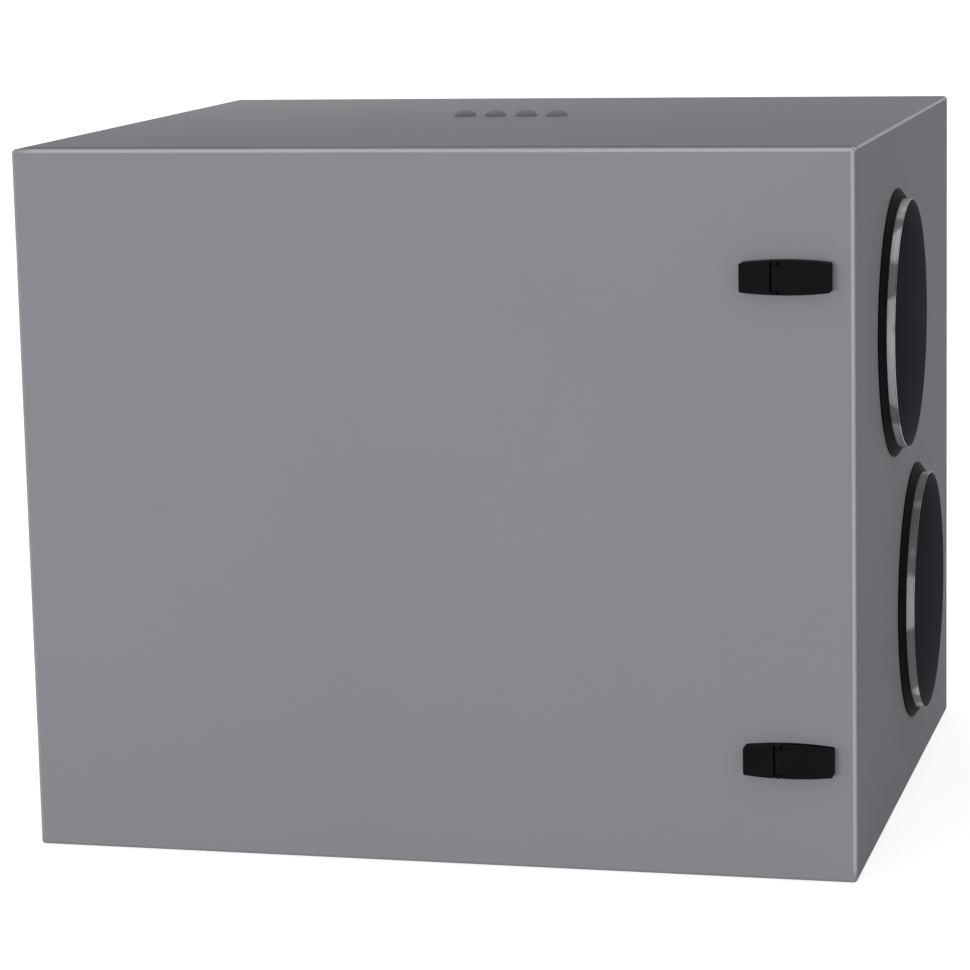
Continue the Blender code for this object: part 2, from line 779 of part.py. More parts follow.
def make_dividers(materials):
    """The sheets from the exchanger's four corners to the cabinet's walls, which part the four chambers."""
    half = EXCHANGER_HALF_DIAGONAL
    to_side = INNER_X - half - SEAT_GAP
    to_top = INNER_TOP_Z - EXCHANGER_CENTRE_Z - half - SEAT_GAP
    to_tray = EXCHANGER_CENTRE_Z - half - TRAY_FLOOR_Z - SEAT_GAP
    front = CHAMBER_FRONT_Y
    back = CHAMBER_BACK_Y
    for name, quarter, length in (
        ("right", 0, to_side),
        ("top", 1, to_top),
        ("left", 2, to_side),
        ("bottom", 3, to_tray),
    ):
        turn = Matrix.Rotation(quarter * math.pi / 2, 2)
        outline = [turn @ Vector((u + half, v)) for u, v in rail_outline(length)]
        inset = TRAY_SHEET + 2 * SEAT_GAP if name == "bottom" else 0.0
        shape = prism_mesh([(p.x, p.y) for p in outline], "y", front + inset, back - inset)
        made = add_object(f"divider_{name}", shape, (0, 0, EXCHANGER_CENTRE_Z))
        if name == "top":
            low, high = control_box_corners()
            room = Vector((POCKET_CLEARANCE,) * 3)
            cut(made, add_object("control_box_notch", box_mesh(low - room, high + room)))
        paint(made, materials["galvanised steel"])


def control_box_corners():
    low = Vector(
        (
            GLAND_ROW_X - CONTROL_BOX_LENGTH / 2,
            GLAND_Y - CONTROL_BOX_DEPTH / 2,
            INNER_TOP_Z - SEAT_GAP - CONTROL_BOX_HEIGHT,
        )
    )
    size = Vector((CONTROL_BOX_LENGTH, CONTROL_BOX_DEPTH, CONTROL_BOX_HEIGHT))
    return low, low + size


def make_control_box(materials):
    low, high = control_box_corners()
    made = add_object("control_box", box_mesh(low, high))
    paint(made, materials["galvanised steel"])
    soften(made, EDGE_ROUND)


def make_drain_tray(materials):
    low_z = WALL + SEAT_GAP
    front = CHAMBER_FRONT_Y
    back = CHAMBER_BACK_Y - SEAT_GAP
    tray = add_object(
        "drain_tray",
        box_mesh((-TRAY_HALF_WIDTH, front, low_z), (TRAY_HALF_WIDTH, back, low_z + TRAY_HEIGHT)),
    )
    inside = box_mesh(
        (-TRAY_HALF_WIDTH + TRAY_SHEET, front + TRAY_SHEET, low_z + TRAY_SHEET),
        (TRAY_HALF_WIDTH - TRAY_SHEET, back - TRAY_SHEET, low_z + 2 * TRAY_HEIGHT),
    )
    cut(tray, add_object("tray_inside", inside))
    paint(tray, materials["aluminium"])


def make_filter(materials, side, sign):
    """A pleated panel filter standing on the side divider."""
    x = sign * (INNER_X - FILTER_FROM_SIDE - FILTER_THICKNESS / 2)
    half_x = FILTER_THICKNESS / 2
    low_z = EXCHANGER_CENTRE_Z + DIVIDER_SHEET / 2 + SEAT_GAP
    high_z = INNER_TOP_Z - SEAT_GAP
    front = CHAMBER_FRONT_Y
    back = CHAMBER_BACK_Y
    frame = add_object(
        f"filter_frame_{side}", box_mesh((-half_x, front, low_z), (half_x, back, high_z)), (x, 0, 0)
    )
    opening = box_mesh(
        (-WALL, front + FILTER_BORDER, low_z + FILTER_BORDER),
        (WALL, back - FILTER_BORDER, high_z - FILTER_BORDER),
    )
    cut(frame, add_object(f"filter_opening_{side}", opening, (x, 0, 0)))
    paint(frame, materials["galvanised steel"])

    first = front + FILTER_BORDER + SEAT_GAP
    last = back - FILTER_BORDER - SEAT_GAP
    folds = 2 * round((last - first) / PLEAT_PITCH)
    depth = half_x - PLEAT_SHEET
    near = []
    for i in range(folds + 1):
        y = first + (last - first) * i / folds
        near.append((depth * (-1) ** i, y))
    run = (last - first) / folds
    lean = PLEAT_SHEET * math.hypot(run, 2 * depth) / run / 2
    shift = min(lean, depth / 2)
    outline = [(u + shift / 2, y) for u, y in near] + [(u - shift / 2, y) for u, y in reversed(near)]
    media = prism_mesh(
        outline, "z", low_z + FILTER_BORDER + SEAT_GAP, high_z - FILTER_BORDER - SEAT_GAP
    )
    made = add_object(f"filter_media_{side}", media, (x, 0, 0))
    paint(made, materials["filter cloth"])


def shroud_line(start, inset):
    """The shroud's curve from its mouth to the impeller's rim, moved inward by inset."""
    line = []
    for i in range(SHROUD_STEPS + 1):
        turn = math.pi / 2 * i / SHROUD_STEPS
        along = start + (SHROUD_DEPTH + inset) * math.sin(turn)
        rise = (IMPELLER_RADIUS - INLET_RADIUS) * (1 - math.cos(turn))
        line.append((along, INLET_RADIUS + rise - inset * math.cos(turn)))
    return line


def nozzle_profile(start):
    """The rolled inlet: a flat flange in the plate, then a curve that leads into the shroud's mouth."""
    throat = INLET_RADIUS - IMPELLER_SHEET - FAN_RUNNING_GAP - NOZZLE_SHEET
    root = FAN_PLATE_X + (FAN_PLATE_THICKNESS - NOZZLE_SHEET) / 2
    depth = start + NOZZLE_REACH - root
    inner = []
    outer = []
    for i in range(NOZZLE_STEPS + 1):
        turn = math.pi / 2 * i / NOZZLE_STEPS
        along = root + depth * (1 - math.cos(turn))
        radius = throat + NOZZLE_CURL * (1 - math.sin(turn))
        inner.append((along, radius))
        outer.append((along + NOZZLE_SHEET * math.cos(turn), radius + NOZZLE_SHEET * math.sin(turn)))
    rim = throat + NOZZLE_CURL + NOZZLE_LAP
    return [(root, rim)] + inner + outer[::-1] + [(root + NOZZLE_SHEET, rim)]


def mirrored(profile, sign):
    return [(sign * along, radius) for along, radius in profile]


def make_fan(materials, side, sign):
    """A plug fan: a wall plate with a rolled inlet, a bladed impeller, and a motor held on four stays."""
    plate_face = FAN_PLATE_X + FAN_PLATE_THICKNESS
    start = plate_face + FAN_RUNNING_GAP
    back = start + IMPELLER_WIDTH
    at = (0, FAN_CENTRE_Y, FAN_CENTRE_Z)
    make_fan_plate(materials, side, sign, plate_face, start, at)
    make_impeller(materials, side, sign, start, back, at)

    motor_end = back + SEAT_GAP + MOTOR_LENGTH
    low, high = sorted((sign * (back + SEAT_GAP), sign * motor_end))
    motor = add_object(f"fan_motor_{side}", cylinder_mesh("x", MOTOR_RADIUS, low, high, FAN_STEPS), at)
    paint(motor, materials["black plastic"])
    soften(motor, EDGE_ROUND, 1)

    reach = motor_end + SEAT_GAP
    plate_half = STAY_OFFSET + MOTOR_PLATE_BORDER
    low, high = sorted((sign * reach, sign * (reach + FAN_PLATE_THICKNESS)))
    holder = add_object(
        f"fan_stays_{side}",
        box_mesh((low, -plate_half, -plate_half), (high, plate_half, plate_half)),
        at,
    )
    for number in range(4):
        y = STAY_OFFSET * (-1) ** (number // 2)
        z = STAY_OFFSET * (-1) ** number
        low, high = sorted((sign * (plate_face + SEAT_GAP), sign * (reach + FAN_PLATE_THICKNESS)))
        stay = cylinder_mesh("x", STAY_RADIUS, low, high, STAY_STEPS, (y, z))
        join(holder, add_object(f"fan_stay_{side}_{number}", stay, at))
    paint(holder, materials["galvanised steel"])


def make_fan_plate(materials, side, sign, plate_face, start, at):
    low_z = WALL + SEAT_GAP
    lean = EXCHANGER_CENTRE_Z - (EXCHANGER_HALF_DIAGONAL - FAN_PLATE_X)
    high_z = lean - FAN_PLATE_TOP_GAP
    low, high = sorted((sign * FAN_PLATE_X, sign * plate_face))
    wall = add_object(
        f"fan_plate_{side}",
        box_mesh(
            (low, CHAMBER_FRONT_Y - FAN_CENTRE_Y, low_z - FAN_CENTRE_Z),
            (high, CHAMBER_BACK_Y - FAN_CENTRE_Y, high_z - FAN_CENTRE_Z),
        ),
        at,
    )
    profile = nozzle_profile(start)
    hole_radius = profile[0][1] - NOZZLE_LAP
    low, high = sorted((sign * (FAN_PLATE_X - WALL), sign * (plate_face + WALL)))
    hole = cylinder_mesh("x", hole_radius, low, high, FAN_STEPS)
    cut(wall, add_object(f"fan_inlet_hole_{side}", hole, at))
    nozzle = turned_mesh(mirrored(profile, sign), "x", FAN_STEPS)
    join(wall, add_object(f"fan_nozzle_{side}", nozzle, at))
    paint(wall, materials["galvanised steel"])


def make_impeller(materials, side, sign, start, back, at):
    """A disc with backward-curved blades, and the shroud that lies on the blades' front edges."""
    front = shroud_line(start, 0.0)
    rear = shroud_line(start, IMPELLER_SHEET)
    shroud = turned_mesh(mirrored(front + rear[::-1], sign), "x", FAN_STEPS)
    paint(add_object(f"fan_shroud_{side}", shroud, at), materials["aluminium"])

    face = back - IMPELLER_SHEET
    disc_profile = [(face, 0), (back, 0), (back, IMPELLER_RADIUS), (face, IMPELLER_RADIUS)]
    disc = turned_mesh(mirrored(disc_profile, sign), "x", FAN_STEPS)
    impeller = add_object(f"fan_impeller_{side}", disc, at)
    for number in range(BLADE_COUNT):
        join(impeller, make_blade(side, sign, number, start, back, at))
    seat = shroud_line(start, IMPELLER_SHEET + SEAT_GAP)
    beyond = IMPELLER_RADIUS + WALL
    room_profile = [(start - WALL, 0), (start, 0)] + seat
    room_profile += [(seat[-1][0], beyond), (start - WALL, beyond)]
    room = turned_mesh(mirrored(room_profile, sign), "x", FAN_STEPS)
    cut(impeller, add_object(f"shroud_room_{side}", room, at))
    paint(impeller, materials["aluminium"])


def make_blade(side, sign, number, start, back, at):
    """A backward-curved blade: an arc from the inlet's edge to the impeller's rim."""
    outer = IMPELLER_RADIUS - BLADE_TIP_INSET
    turn = 2 * math.pi * number / BLADE_COUNT
    centre_line = []
    for i in range(BLADE_STEPS + 1):
        share = i / BLADE_STEPS
        radius = BLADE_FOOT_RADIUS + (outer - BLADE_FOOT_RADIUS) * share
        angle = turn - BLADE_SWEEP * share
        centre_line.append(Vector((radius * math.cos(angle), radius * math.sin(angle))))
    left = []
    right = []
    for i, point in enumerate(centre_line):
        before = centre_line[max(i - 1, 0)]
        after = centre_line[min(i + 1, BLADE_STEPS)]
        along = (after - before).normalized()
        across = Vector((-along.y, along.x)) * BLADE_SHEET / 2
        left.append(point + across)
        right.append(point - across)
    outline = [(p.x, p.y) for p in left + right[::-1]]
    low, high = sorted((sign * (start + BLADE_LEAD), sign * (back - IMPELLER_SHEET / 2)))
    return add_object(f"fan_blade_{side}_{number}", prism_mesh(outline, "x", low, high), at)


def main():
    clear_scene()
    materials = make_materials()
    make_cabinet(materials)
    make_collars(materials)
    make_glands(materials)
    make_gasket(materials)
    make_hinge_brackets(materials)
    make_keepers(materials)
    door_axis = add_empty("door_axis", (HINGE_X, HINGE_Y, 0))
    make_door(materials, door_axis)
    for place, z in LATCH_ZS.items():
        make_latch(materials, place, z, door_axis)
    make_exchanger(materials)
    make_dividers(materials)
    make_control_box(materials)
    make_drain_tray(materials)
    for side, sign in SIDES.items():
        make_filter(materials, side, sign)
        make_fan(materials, side, sign)


main()
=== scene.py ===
"""Finishes, small parts and studio for an air handling unit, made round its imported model.

Metres, +Z up. The door faces -Y, and the ends with the duct collars face -X and +X.
Run as a script it dresses the whole unit. The panel in the 3D view's sidebar runs the
same steps one by one, and its values can be changed there before a step is run.
"""

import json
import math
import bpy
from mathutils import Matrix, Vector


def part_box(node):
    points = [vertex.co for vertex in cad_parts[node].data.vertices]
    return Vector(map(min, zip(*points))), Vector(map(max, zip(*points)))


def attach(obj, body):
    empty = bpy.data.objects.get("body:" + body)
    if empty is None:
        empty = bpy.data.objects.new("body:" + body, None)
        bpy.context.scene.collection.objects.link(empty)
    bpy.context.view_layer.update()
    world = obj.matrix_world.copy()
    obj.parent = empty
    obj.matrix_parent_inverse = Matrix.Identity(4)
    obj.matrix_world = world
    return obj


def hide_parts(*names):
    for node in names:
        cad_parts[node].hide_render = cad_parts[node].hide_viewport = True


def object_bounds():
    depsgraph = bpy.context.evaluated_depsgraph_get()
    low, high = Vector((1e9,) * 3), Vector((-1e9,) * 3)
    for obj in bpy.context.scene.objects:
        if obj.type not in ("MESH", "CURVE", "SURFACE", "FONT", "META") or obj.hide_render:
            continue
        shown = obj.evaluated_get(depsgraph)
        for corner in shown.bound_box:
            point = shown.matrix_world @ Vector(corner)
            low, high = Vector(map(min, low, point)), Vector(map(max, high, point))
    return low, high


bl_info = {
    "name": "Air handling unit dressing",
    "version": (1, 0, 0),
    "blender": (4, 5, 0),
    "location": "3D View > Sidebar > Air unit",
    "description": "Finishes, small parts and studio for an air handling unit",
    "category": "Object",
}

import bmesh
import bpy
from bpy.props import FloatProperty, FloatVectorProperty, IntProperty, PointerProperty
from mathutils import Matrix, Vector

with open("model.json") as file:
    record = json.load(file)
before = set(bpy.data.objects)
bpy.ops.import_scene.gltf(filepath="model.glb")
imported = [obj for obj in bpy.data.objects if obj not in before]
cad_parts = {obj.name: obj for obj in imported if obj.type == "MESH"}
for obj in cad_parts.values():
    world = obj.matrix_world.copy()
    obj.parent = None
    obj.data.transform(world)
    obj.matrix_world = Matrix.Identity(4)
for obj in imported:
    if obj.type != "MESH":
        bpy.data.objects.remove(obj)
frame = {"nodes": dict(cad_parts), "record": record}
cad_low, cad_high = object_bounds()

SLOT_COLOURS = {entry["slot"]: entry["base_color"] for entry in frame["record"]["materials"]}
SIDES = {"left": -1, "right": 1}
HEIGHTS = ("upper", "lower")

# Planes of the cabinet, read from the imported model
WALL_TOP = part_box("back_panel")[1].z
SIDE_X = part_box("right_side_panel")[1].x
INNER_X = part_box("right_side_panel")[0].x
CASE_FRONT_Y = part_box("top_panel")[0].y
CASE_BACK_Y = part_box("back_panel")[1].y
INNER_BACK_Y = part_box("back_panel")[0].y
INNER_FLOOR_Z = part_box("base_panel")[1].z
INNER_TOP_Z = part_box("top_panel")[0].z
DOOR_FRONT_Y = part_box("door_panel")[0].y
HINGE_X = frame["record"]["behaviour"]["joints"][0]["pos_m"][0]
PLANE_SLACK = 0.0008
BEYOND = 5.0


# Materials

def new_finish(name):
    """An empty material and its shader."""
    made = bpy.data.materials.new(name)
    made.use_nodes = True
    tree = made.node_tree
    return made, tree, tree.nodes["Principled BSDF"]


def pattern(tree, kind, scale, stretch=(1, 1, 1), **inputs):
    """A texture on Object coordinates, with its scale in cells a metre."""
    place = tree.nodes.new("ShaderNodeTexCoord")
    mapping = tree.nodes.new("ShaderNodeMapping")
    mapping.inputs["Scale"].default_value = stretch
    texture = tree.nodes.new(kind)
    texture.inputs["Scale"].default_value = scale
    for name, value in inputs.items():
        texture.inputs[name].default_value = value
    tree.links.new(place.outputs["Object"], mapping.inputs["Vector"])
    tree.links.new(mapping.outputs["Vector"], texture.inputs["Vector"])
    return texture


def noise(tree, scale, stretch=(1, 1, 1), detail=2.0):
    return pattern(tree, "ShaderNodeTexNoise", scale, stretch, Detail=detail).outputs["Fac"]


def spread(tree, source, low, high, start=0.3, end=0.7):
    """source from start to end becomes low to high."""
    change = tree.nodes.new("ShaderNodeMapRange")
    change.inputs["From Min"].default_value = start
    change.inputs["From Max"].default_value = end
    change.inputs["To Min"].default_value = low
    change.inputs["To Max"].default_value = high
    tree.links.new(source, change.inputs["Value"])
    return change.outputs["Result"]


def plug(tree, value, socket):
    """A number or colour is set on the socket, and another node's output is linked to it."""
    if isinstance(value, bpy.types.NodeSocket):
        tree.links.new(value, socket)
    elif hasattr(value, "__len__") and len(value) == 3 and socket.type == "RGBA":
        socket.default_value = (*value, 1.0)
    else:
        socket.default_value = value


def between(tree, share, first, second, kind="RGBA"):
    """A mix of two colours or two numbers."""
    blend = tree.nodes.new("ShaderNodeMix")
    blend.data_type = kind
    ports = [s for s in blend.inputs if s.enabled]
    plug(tree, share, ports[0])
    plug(tree, first, ports[1])
    plug(tree, second, ports[2])
    return next(s for s in blend.outputs if s.enabled)


def reckon(tree, operation, *values):
    step = tree.nodes.new("ShaderNodeMath")
    step.operation = operation
    for socket, value in zip(step.inputs, values):
        plug(tree, value, socket)
    return step.outputs[0]


def shade(colour, factor):
    return [channel * factor for channel in colour]


def raise_surface(tree, shader, height, strength, distance):
    relief = tree.nodes.new("ShaderNodeBump")
    relief.inputs["Strength"].default_value = strength
    relief.inputs["Distance"].default_value = distance
    tree.links.new(height, relief.inputs["Height"])
    tree.links.new(relief.outputs["Normal"], shader.inputs["Normal"])


def position(tree):
    """The three Object coordinates as sockets."""
    place = tree.nodes.new("ShaderNodeTexCoord")
    split = tree.nodes.new("ShaderNodeSeparateXYZ")
    tree.links.new(place.outputs["Object"], split.inputs["Vector"])
    return split.outputs


def within(tree, low, high):
    """1 inside the box from low to high, 0 outside it."""
    parts = []
    for coordinate, a, b in zip(position(tree), low, high):
        parts.append(reckon(tree, "COMPARE", coordinate, (a + b) / 2, (b - a) / 2))
    return reckon(tree, "MULTIPLY", reckon(tree, "MULTIPLY", parts[0], parts[1]), parts[2])


def paint_look(tree, look, colour):
    """Powder coat: colour, roughness and height."""
    cloud = noise(tree, look.cloud_scale, detail=3.0)
    peel = noise(tree, look.peel_scale, detail=1.0)
    tinted = between(
        tree,
        spread(tree, cloud, 0.0, 1.0),
        shade(colour, 1 - look.paint_variation),
        shade(colour, 1 + look.paint_variation),
    )
    rough = spread(tree, cloud, look.paint_roughness - 0.03, look.paint_roughness + 0.03)
    return tinted, rough, peel


def zinc_look(tree, look, colour):
    """Hot-dip zinc with its crystal pattern: colour, roughness and height."""
    crystal = pattern(tree, "ShaderNodeTexVoronoi", look.spangle_scale)
    grey = tree.nodes.new("ShaderNodeSeparateColor")
    tree.links.new(crystal.outputs["Color"], grey.inputs["Color"])
    tone = grey.outputs["Red"]
    tinted = between(tree, tone, shade(colour, 0.70), shade(colour, 0.82))
    rough = spread(tree, tone, look.zinc_roughness, look.zinc_roughness + 0.08, 0.0, 1.0)
    return tinted, rough, tone


def double_skin(name, look, colour, low, high, edges, band):
    """Powder coat outside and zinc inside the box from low to high, as the panels' two steel skins have.

    edges is the box whose rounded corners get a painted highlight: the paint's colour is made brighter over band on
    both faces.
    """
    made, tree, shader = new_finish(name)
    inside = within(tree, low, high)
    paint, paint_rough, peel = paint_look(tree, look, colour)
    # Painted highlight: a brighter colour is mixed into the paint along the rounded edges. The door-front colour is
    # used near the door's face, and the casing colour behind it.
    behind = spread(tree, position(tree)["Y"], 0.0, 1.0, DOOR_FRONT_Y + band / 2, DOOR_FRONT_Y + band)
    edge_highlight_colour = between(tree, behind, look.edge_highlight_colour, look.casing_edge_highlight_colour)
    paint = between(tree, edge_highlight_mask(tree, *edges, band), paint, edge_highlight_colour)
    zinc, zinc_rough, _ = zinc_look(tree, look, SLOT_COLOURS["galvanised_steel"])
    plug(tree, between(tree, inside, paint, zinc), shader.inputs["Base Color"])
    plug(tree, between(tree, inside, paint_rough, zinc_rough, "FLOAT"), shader.inputs["Roughness"])
    plug(tree, reckon(tree, "MULTIPLY", inside, 0.85), shader.inputs["Metallic"])
    shader.inputs["Specular IOR Level"].default_value = look.paint_gloss
    raise_surface(tree, shader, peel, look.peel_strength, look.peel_height)
    return made


# Mask of the painted highlight on the rounded edges.
def edge_highlight_mask(tree, low, high, band):
    """1 on the rounded edges of the box from low to high, fading to 0 over band on both faces.

    The highlight is painted as if the light came from the upper right: the edges on the left show it faintly, and
    those at the bottom not at all.
    """
    near = []
    place = position(tree)
    for coordinate, a, b in zip(place, low, high):
        off = reckon(tree, "ABSOLUTE", reckon(tree, "SUBTRACT", coordinate, (a + b) / 2))
        gap = reckon(tree, "SUBTRACT", (b - a) / 2, off)
        near.append(spread(tree, gap, 1.0, 0.0, 0.0, band))
    pairs = []
    for i, j in ((0, 1), (1, 2), (0, 2)):
        pairs.append(reckon(tree, "MULTIPLY", near[i], near[j]))
    total = reckon(tree, "MAXIMUM", reckon(tree, "MAXIMUM", pairs[0], pairs[1]), pairs[2])
    line = spread(tree, total, 0.0, 1.0, 0.46, 0.62)
    left = spread(tree, place["X"], 0.3, 1.0, low[0] + band, low[0] + 3 * band)
    lower = spread(tree, place["Z"], 0.0, 1.0, low[2] + band / 2, low[2] + 2 * band)
    return reckon(tree, "MULTIPLY", line, reckon(tree, "MULTIPLY", left, lower))


def zinc_sheet(name, look, colour):
    made, tree, shader = new_finish(name)
    tinted, rough, tone = zinc_look(tree, look, colour)
    plug(tree, tinted, shader.inputs["Base Color"])
    plug(tree, rough, shader.inputs["Roughness"])
    shader.inputs["Metallic"].default_value = 0.9
    grain = noise(tree, look.grain_scale, detail=3.0)
    raise_surface(tree, shader, grain, 0.10, 0.0001)
    return made


# Painted reflections: the collar's colour is mixed from large brighter and darker patches that stand in for the
# studio's reflections on the rounded sheet. The brighter patches are also smoother.
def collar_steel_painted_reflections(name, look, colour):
    """Formed zinc sheet, in large brighter and darker patches."""
    made, tree, shader = new_finish(name)
    patch = spread(tree, noise(tree, look.reflection_patch_scale, detail=1.0), 0.0, 1.0, 0.475, 0.515)
    plug(tree, between(tree, patch, shade(colour, 0.40), shade(colour, 1.15)), shader.inputs["Base Color"])
    plug(tree, spread(tree, patch, 0.42, 0.28, 0.0, 1.0), shader.inputs["Roughness"])
    shader.inputs["Metallic"].default_value = 0.9
    grain = noise(tree, look.grain_scale, detail=3.0)
    raise_surface(tree, shader, grain, 0.10, 0.0001)
    return made


def mill_aluminium(name, look, colour, along=(1, 1, 1)):
    """Rolled aluminium with its fine lines. along is the stretch of the lines."""
    made, tree, shader = new_finish(name)
    lines = noise(tree, look.rolling_scale, along, detail=4.0)
    patch = noise(tree, look.cloud_scale * 3, detail=2.0)
    plug(tree, between(tree, patch, shade(colour, 0.9), shade(colour, 1.05)), shader.inputs["Base Color"])
    plug(tree, spread(tree, lines, 0.26, 0.42), shader.inputs["Roughness"])
    shader.inputs["Metallic"].default_value = 1.0
    raise_surface(tree, shader, lines, 0.08, 0.0001)
    return made


def bright_zinc(name, look):
    """Zinc-plated fixings."""
    made, tree, shader = new_finish(name)
    patch = noise(tree, look.grain_scale / 2, detail=2.0)
    plug(tree, between(tree, patch, (0.52, 0.53, 0.55), (0.66, 0.67, 0.68)), shader.inputs["Base Color"])
    plug(tree, spread(tree, patch, 0.22, 0.38), shader.inputs["Roughness"])
    shader.inputs["Metallic"].default_value = 1.0
    return made


def moulded_plastic(name, look, colour, roughness):
    """Injection-moulded plastic with a fine spark-eroded grain."""
    made, tree, shader = new_finish(name)
    grain = noise(tree, look.plastic_scale, detail=2.0)
    cloud = noise(tree, look.cloud_scale * 8, detail=2.0)
    plug(tree, between(tree, cloud, shade(colour, 0.85), shade(colour, 1.2)), shader.inputs["Base Color"])
    plug(tree, spread(tree, grain, roughness - 0.05, roughness + 0.07), shader.inputs["Roughness"])
    shader.inputs["Specular IOR Level"].default_value = 0.03
    raise_surface(tree, shader, grain, 0.25, 0.0001)
    return made


def rubber(name, look, colour, roughness, gloss=0.04):
    """Rubber with a matt, slightly mottled skin."""
    made, tree, shader = new_finish(name)
    mottle = noise(tree, look.grain_scale, detail=4.0)
    cloud = noise(tree, look.cloud_scale * 6, detail=3.0)
    plug(tree, between(tree, cloud, shade(colour, 0.8), shade(colour, 1.25)), shader.inputs["Base Color"])
    plug(tree, spread(tree, mottle, roughness - 0.08, roughness + 0.08), shader.inputs["Roughness"])
    shader.inputs["Specular IOR Level"].default_value = gloss
    raise_surface(tree, shader, mottle, 0.15, 0.0001)
    return made


def filter_fleece(name, look, colour):
    """Filter fleece: crossing fibres, and a soft sheen."""
    made, tree, shader = new_finish(name)
    across = noise(tree, look.fibre_scale, (1, 1, 0.15), detail=5.0)
    down = noise(tree, look.fibre_scale, (0.3, 0.3, 1), detail=5.0)
    fibres = reckon(tree, "MAXIMUM", across, down)
    plug(tree, between(tree, fibres, shade(colour, 0.82), shade(colour, 1.08)), shader.inputs["Base Color"])
    shader.inputs["Roughness"].default_value = 0.95
    shader.inputs["Specular IOR Level"].default_value = 0.2
    shader.inputs["Sheen Weight"].default_value = 0.25
    raise_surface(tree, shader, fibres, 0.4, 0.0004)
    return made


# Meshes

def link(name, mesh, material=None):
    made = bpy.data.objects.new(name, mesh)
    bpy.context.scene.collection.objects.link(made)
    if material is not None:
        made.data.materials.clear()
        made.data.materials.append(material)
    return made


def settle(piece, body, slot, *nodes):
    """Fixes a finished piece on its body and hides the nodes it stands for. slot is not used."""
    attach(piece, body)
    if nodes:
        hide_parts(*nodes)
    return piece


def smooth(mesh, degrees=35):
    mesh.shade_smooth()
    mesh.set_sharp_from_angle(angle=math.radians(degrees))


def body_of(node):
    return next(body for body, members in frame["record"]["behaviour"]["bodies"].items() if node in members)


def smooth_copy(node, name, material, width=0.0):
    """A copy of a node's shape, shaded smooth. With a width its edges are rounded too."""
    shape = bmesh.new()
    shape.from_mesh(frame["nodes"][node].data)
    bmesh.ops.remove_doubles(shape, verts=shape.verts, dist=1e-6)
    bmesh.ops.dissolve_limit(
        shape, angle_limit=math.radians(1.0), verts=shape.verts, edges=shape.edges
    )
    mesh = bpy.data.meshes.new(name)
    shape.to_mesh(mesh)
    shape.free()
    smooth(mesh)
    piece = link(name, mesh, material)
    if width > 0:
        step = piece.modifiers.new("Edges", "BEVEL")
        step.width = width
        step.segments = 3
        step.limit_method = "ANGLE"
        step.angle_limit = math.radians(40)
    step = piece.modifiers.new("Flat faces stay flat", "WEIGHTED_NORMAL")
    step.keep_sharp = True
    graph = bpy.context.evaluated_depsgraph_get()
    finished = bpy.data.meshes.new_from_object(piece.evaluated_get(graph), depsgraph=graph)
    piece.modifiers.clear()
    piece.data = finished
    return piece


def turned(profile, axis, centre, steps, sign=1):
    """A closed profile of (along, radius) points turned round an axis through centre."""
    shape = bmesh.new()
    index = "xyz".index(axis)
    rings = []
    for step in range(steps):
        angle = 2 * math.pi * step / steps
        ring = []
        for i, (along, radius) in enumerate(profile):
            if radius == 0 and rings:
                ring.append(rings[0][i])
                continue
            flat = [radius * math.cos(angle), radius * math.sin(angle)]
            flat.insert(index, sign * along)
            ring.append(shape.verts.new(Vector(flat) + Vector(centre)))
        rings.append(ring)
    for step in range(steps):
        this = rings[step]
        following = rings[(step + 1) % steps]
        for i in range(len(profile)):
            j = (i + 1) % len(profile)
            corners = []
            for vert in (this[i], this[j], following[j], following[i]):
                if vert not in corners:
                    corners.append(vert)
            if len(corners) > 2:
                shape.faces.new(corners)
    bmesh.ops.recalc_face_normals(shape, faces=shape.faces)
    mesh = bpy.data.meshes.new("turned")
    shape.to_mesh(mesh)
    shape.free()
    smooth(mesh)
    return mesh


def arc(centre, radius, start, end, steps):
    """Points of an arc in degrees, as (along, radius) pairs."""
    points = []
    for i in range(steps + 1):
        angle = math.radians(start + (end - start) * i / steps)
        points.append((centre[0] + radius * math.cos(angle), centre[1] + radius * math.sin(angle)))
    return points


def ringed(shape, rings):
    """Faces between each ring of points and the next, and between the last ring and the first."""
    rows = [[shape.verts.new(point) for point in ring] for ring in rings]
    for k, this in enumerate(rows):
        following = rows[(k + 1) % len(rows)]
        for i in range(len(this)):
            j = (i + 1) % len(this)
            shape.faces.new((this[i], this[j], following[j], following[i]))


def closed_mesh(shape, name, degrees=35):
    """The mesh of a bmesh, with its faces turned outward."""
    bmesh.ops.recalc_face_normals(shape, faces=shape.faces)
    mesh = bpy.data.meshes.new(name)
    shape.to_mesh(mesh)
    shape.free()
    smooth(mesh, degrees)
    return mesh


def pierced_plate(low, high, near, far, centre, radius, steps):
    """A plate across X, from near to far, with a round hole. low, high and centre are (y, z) pairs.

    Rays from the hole's centre meet the plate's border, and the nearest ray goes to each corner.
    """
    corners = {}
    for y in (low[0], high[0]):
        for z in (low[1], high[1]):
            turn = math.atan2(z - centre[1], y - centre[0])
            corners[round(turn / (2 * math.pi) * steps) % steps] = (y, z)
    border = []
    hole = []
    for i in range(steps):
        turn = 2 * math.pi * i / steps
        ray = (math.cos(turn), math.sin(turn))
        reaches = []
        for k in (0, 1):
            if abs(ray[k]) > 1e-9:
                limit = high[k] if ray[k] > 0 else low[k]
                reaches.append((limit - centre[k]) / ray[k])
        reach = min(reaches)
        border.append(corners.get(i, (centre[0] + reach * ray[0], centre[1] + reach * ray[1])))
        hole.append((centre[0] + radius * ray[0], centre[1] + radius * ray[1]))
    shape = bmesh.new()
    lines = ((near, border), (near, hole), (far, hole), (far, border))
    ringed(shape, [[(x, y, z) for y, z in line] for x, line in lines])
    return closed_mesh(shape, "pierced plate")


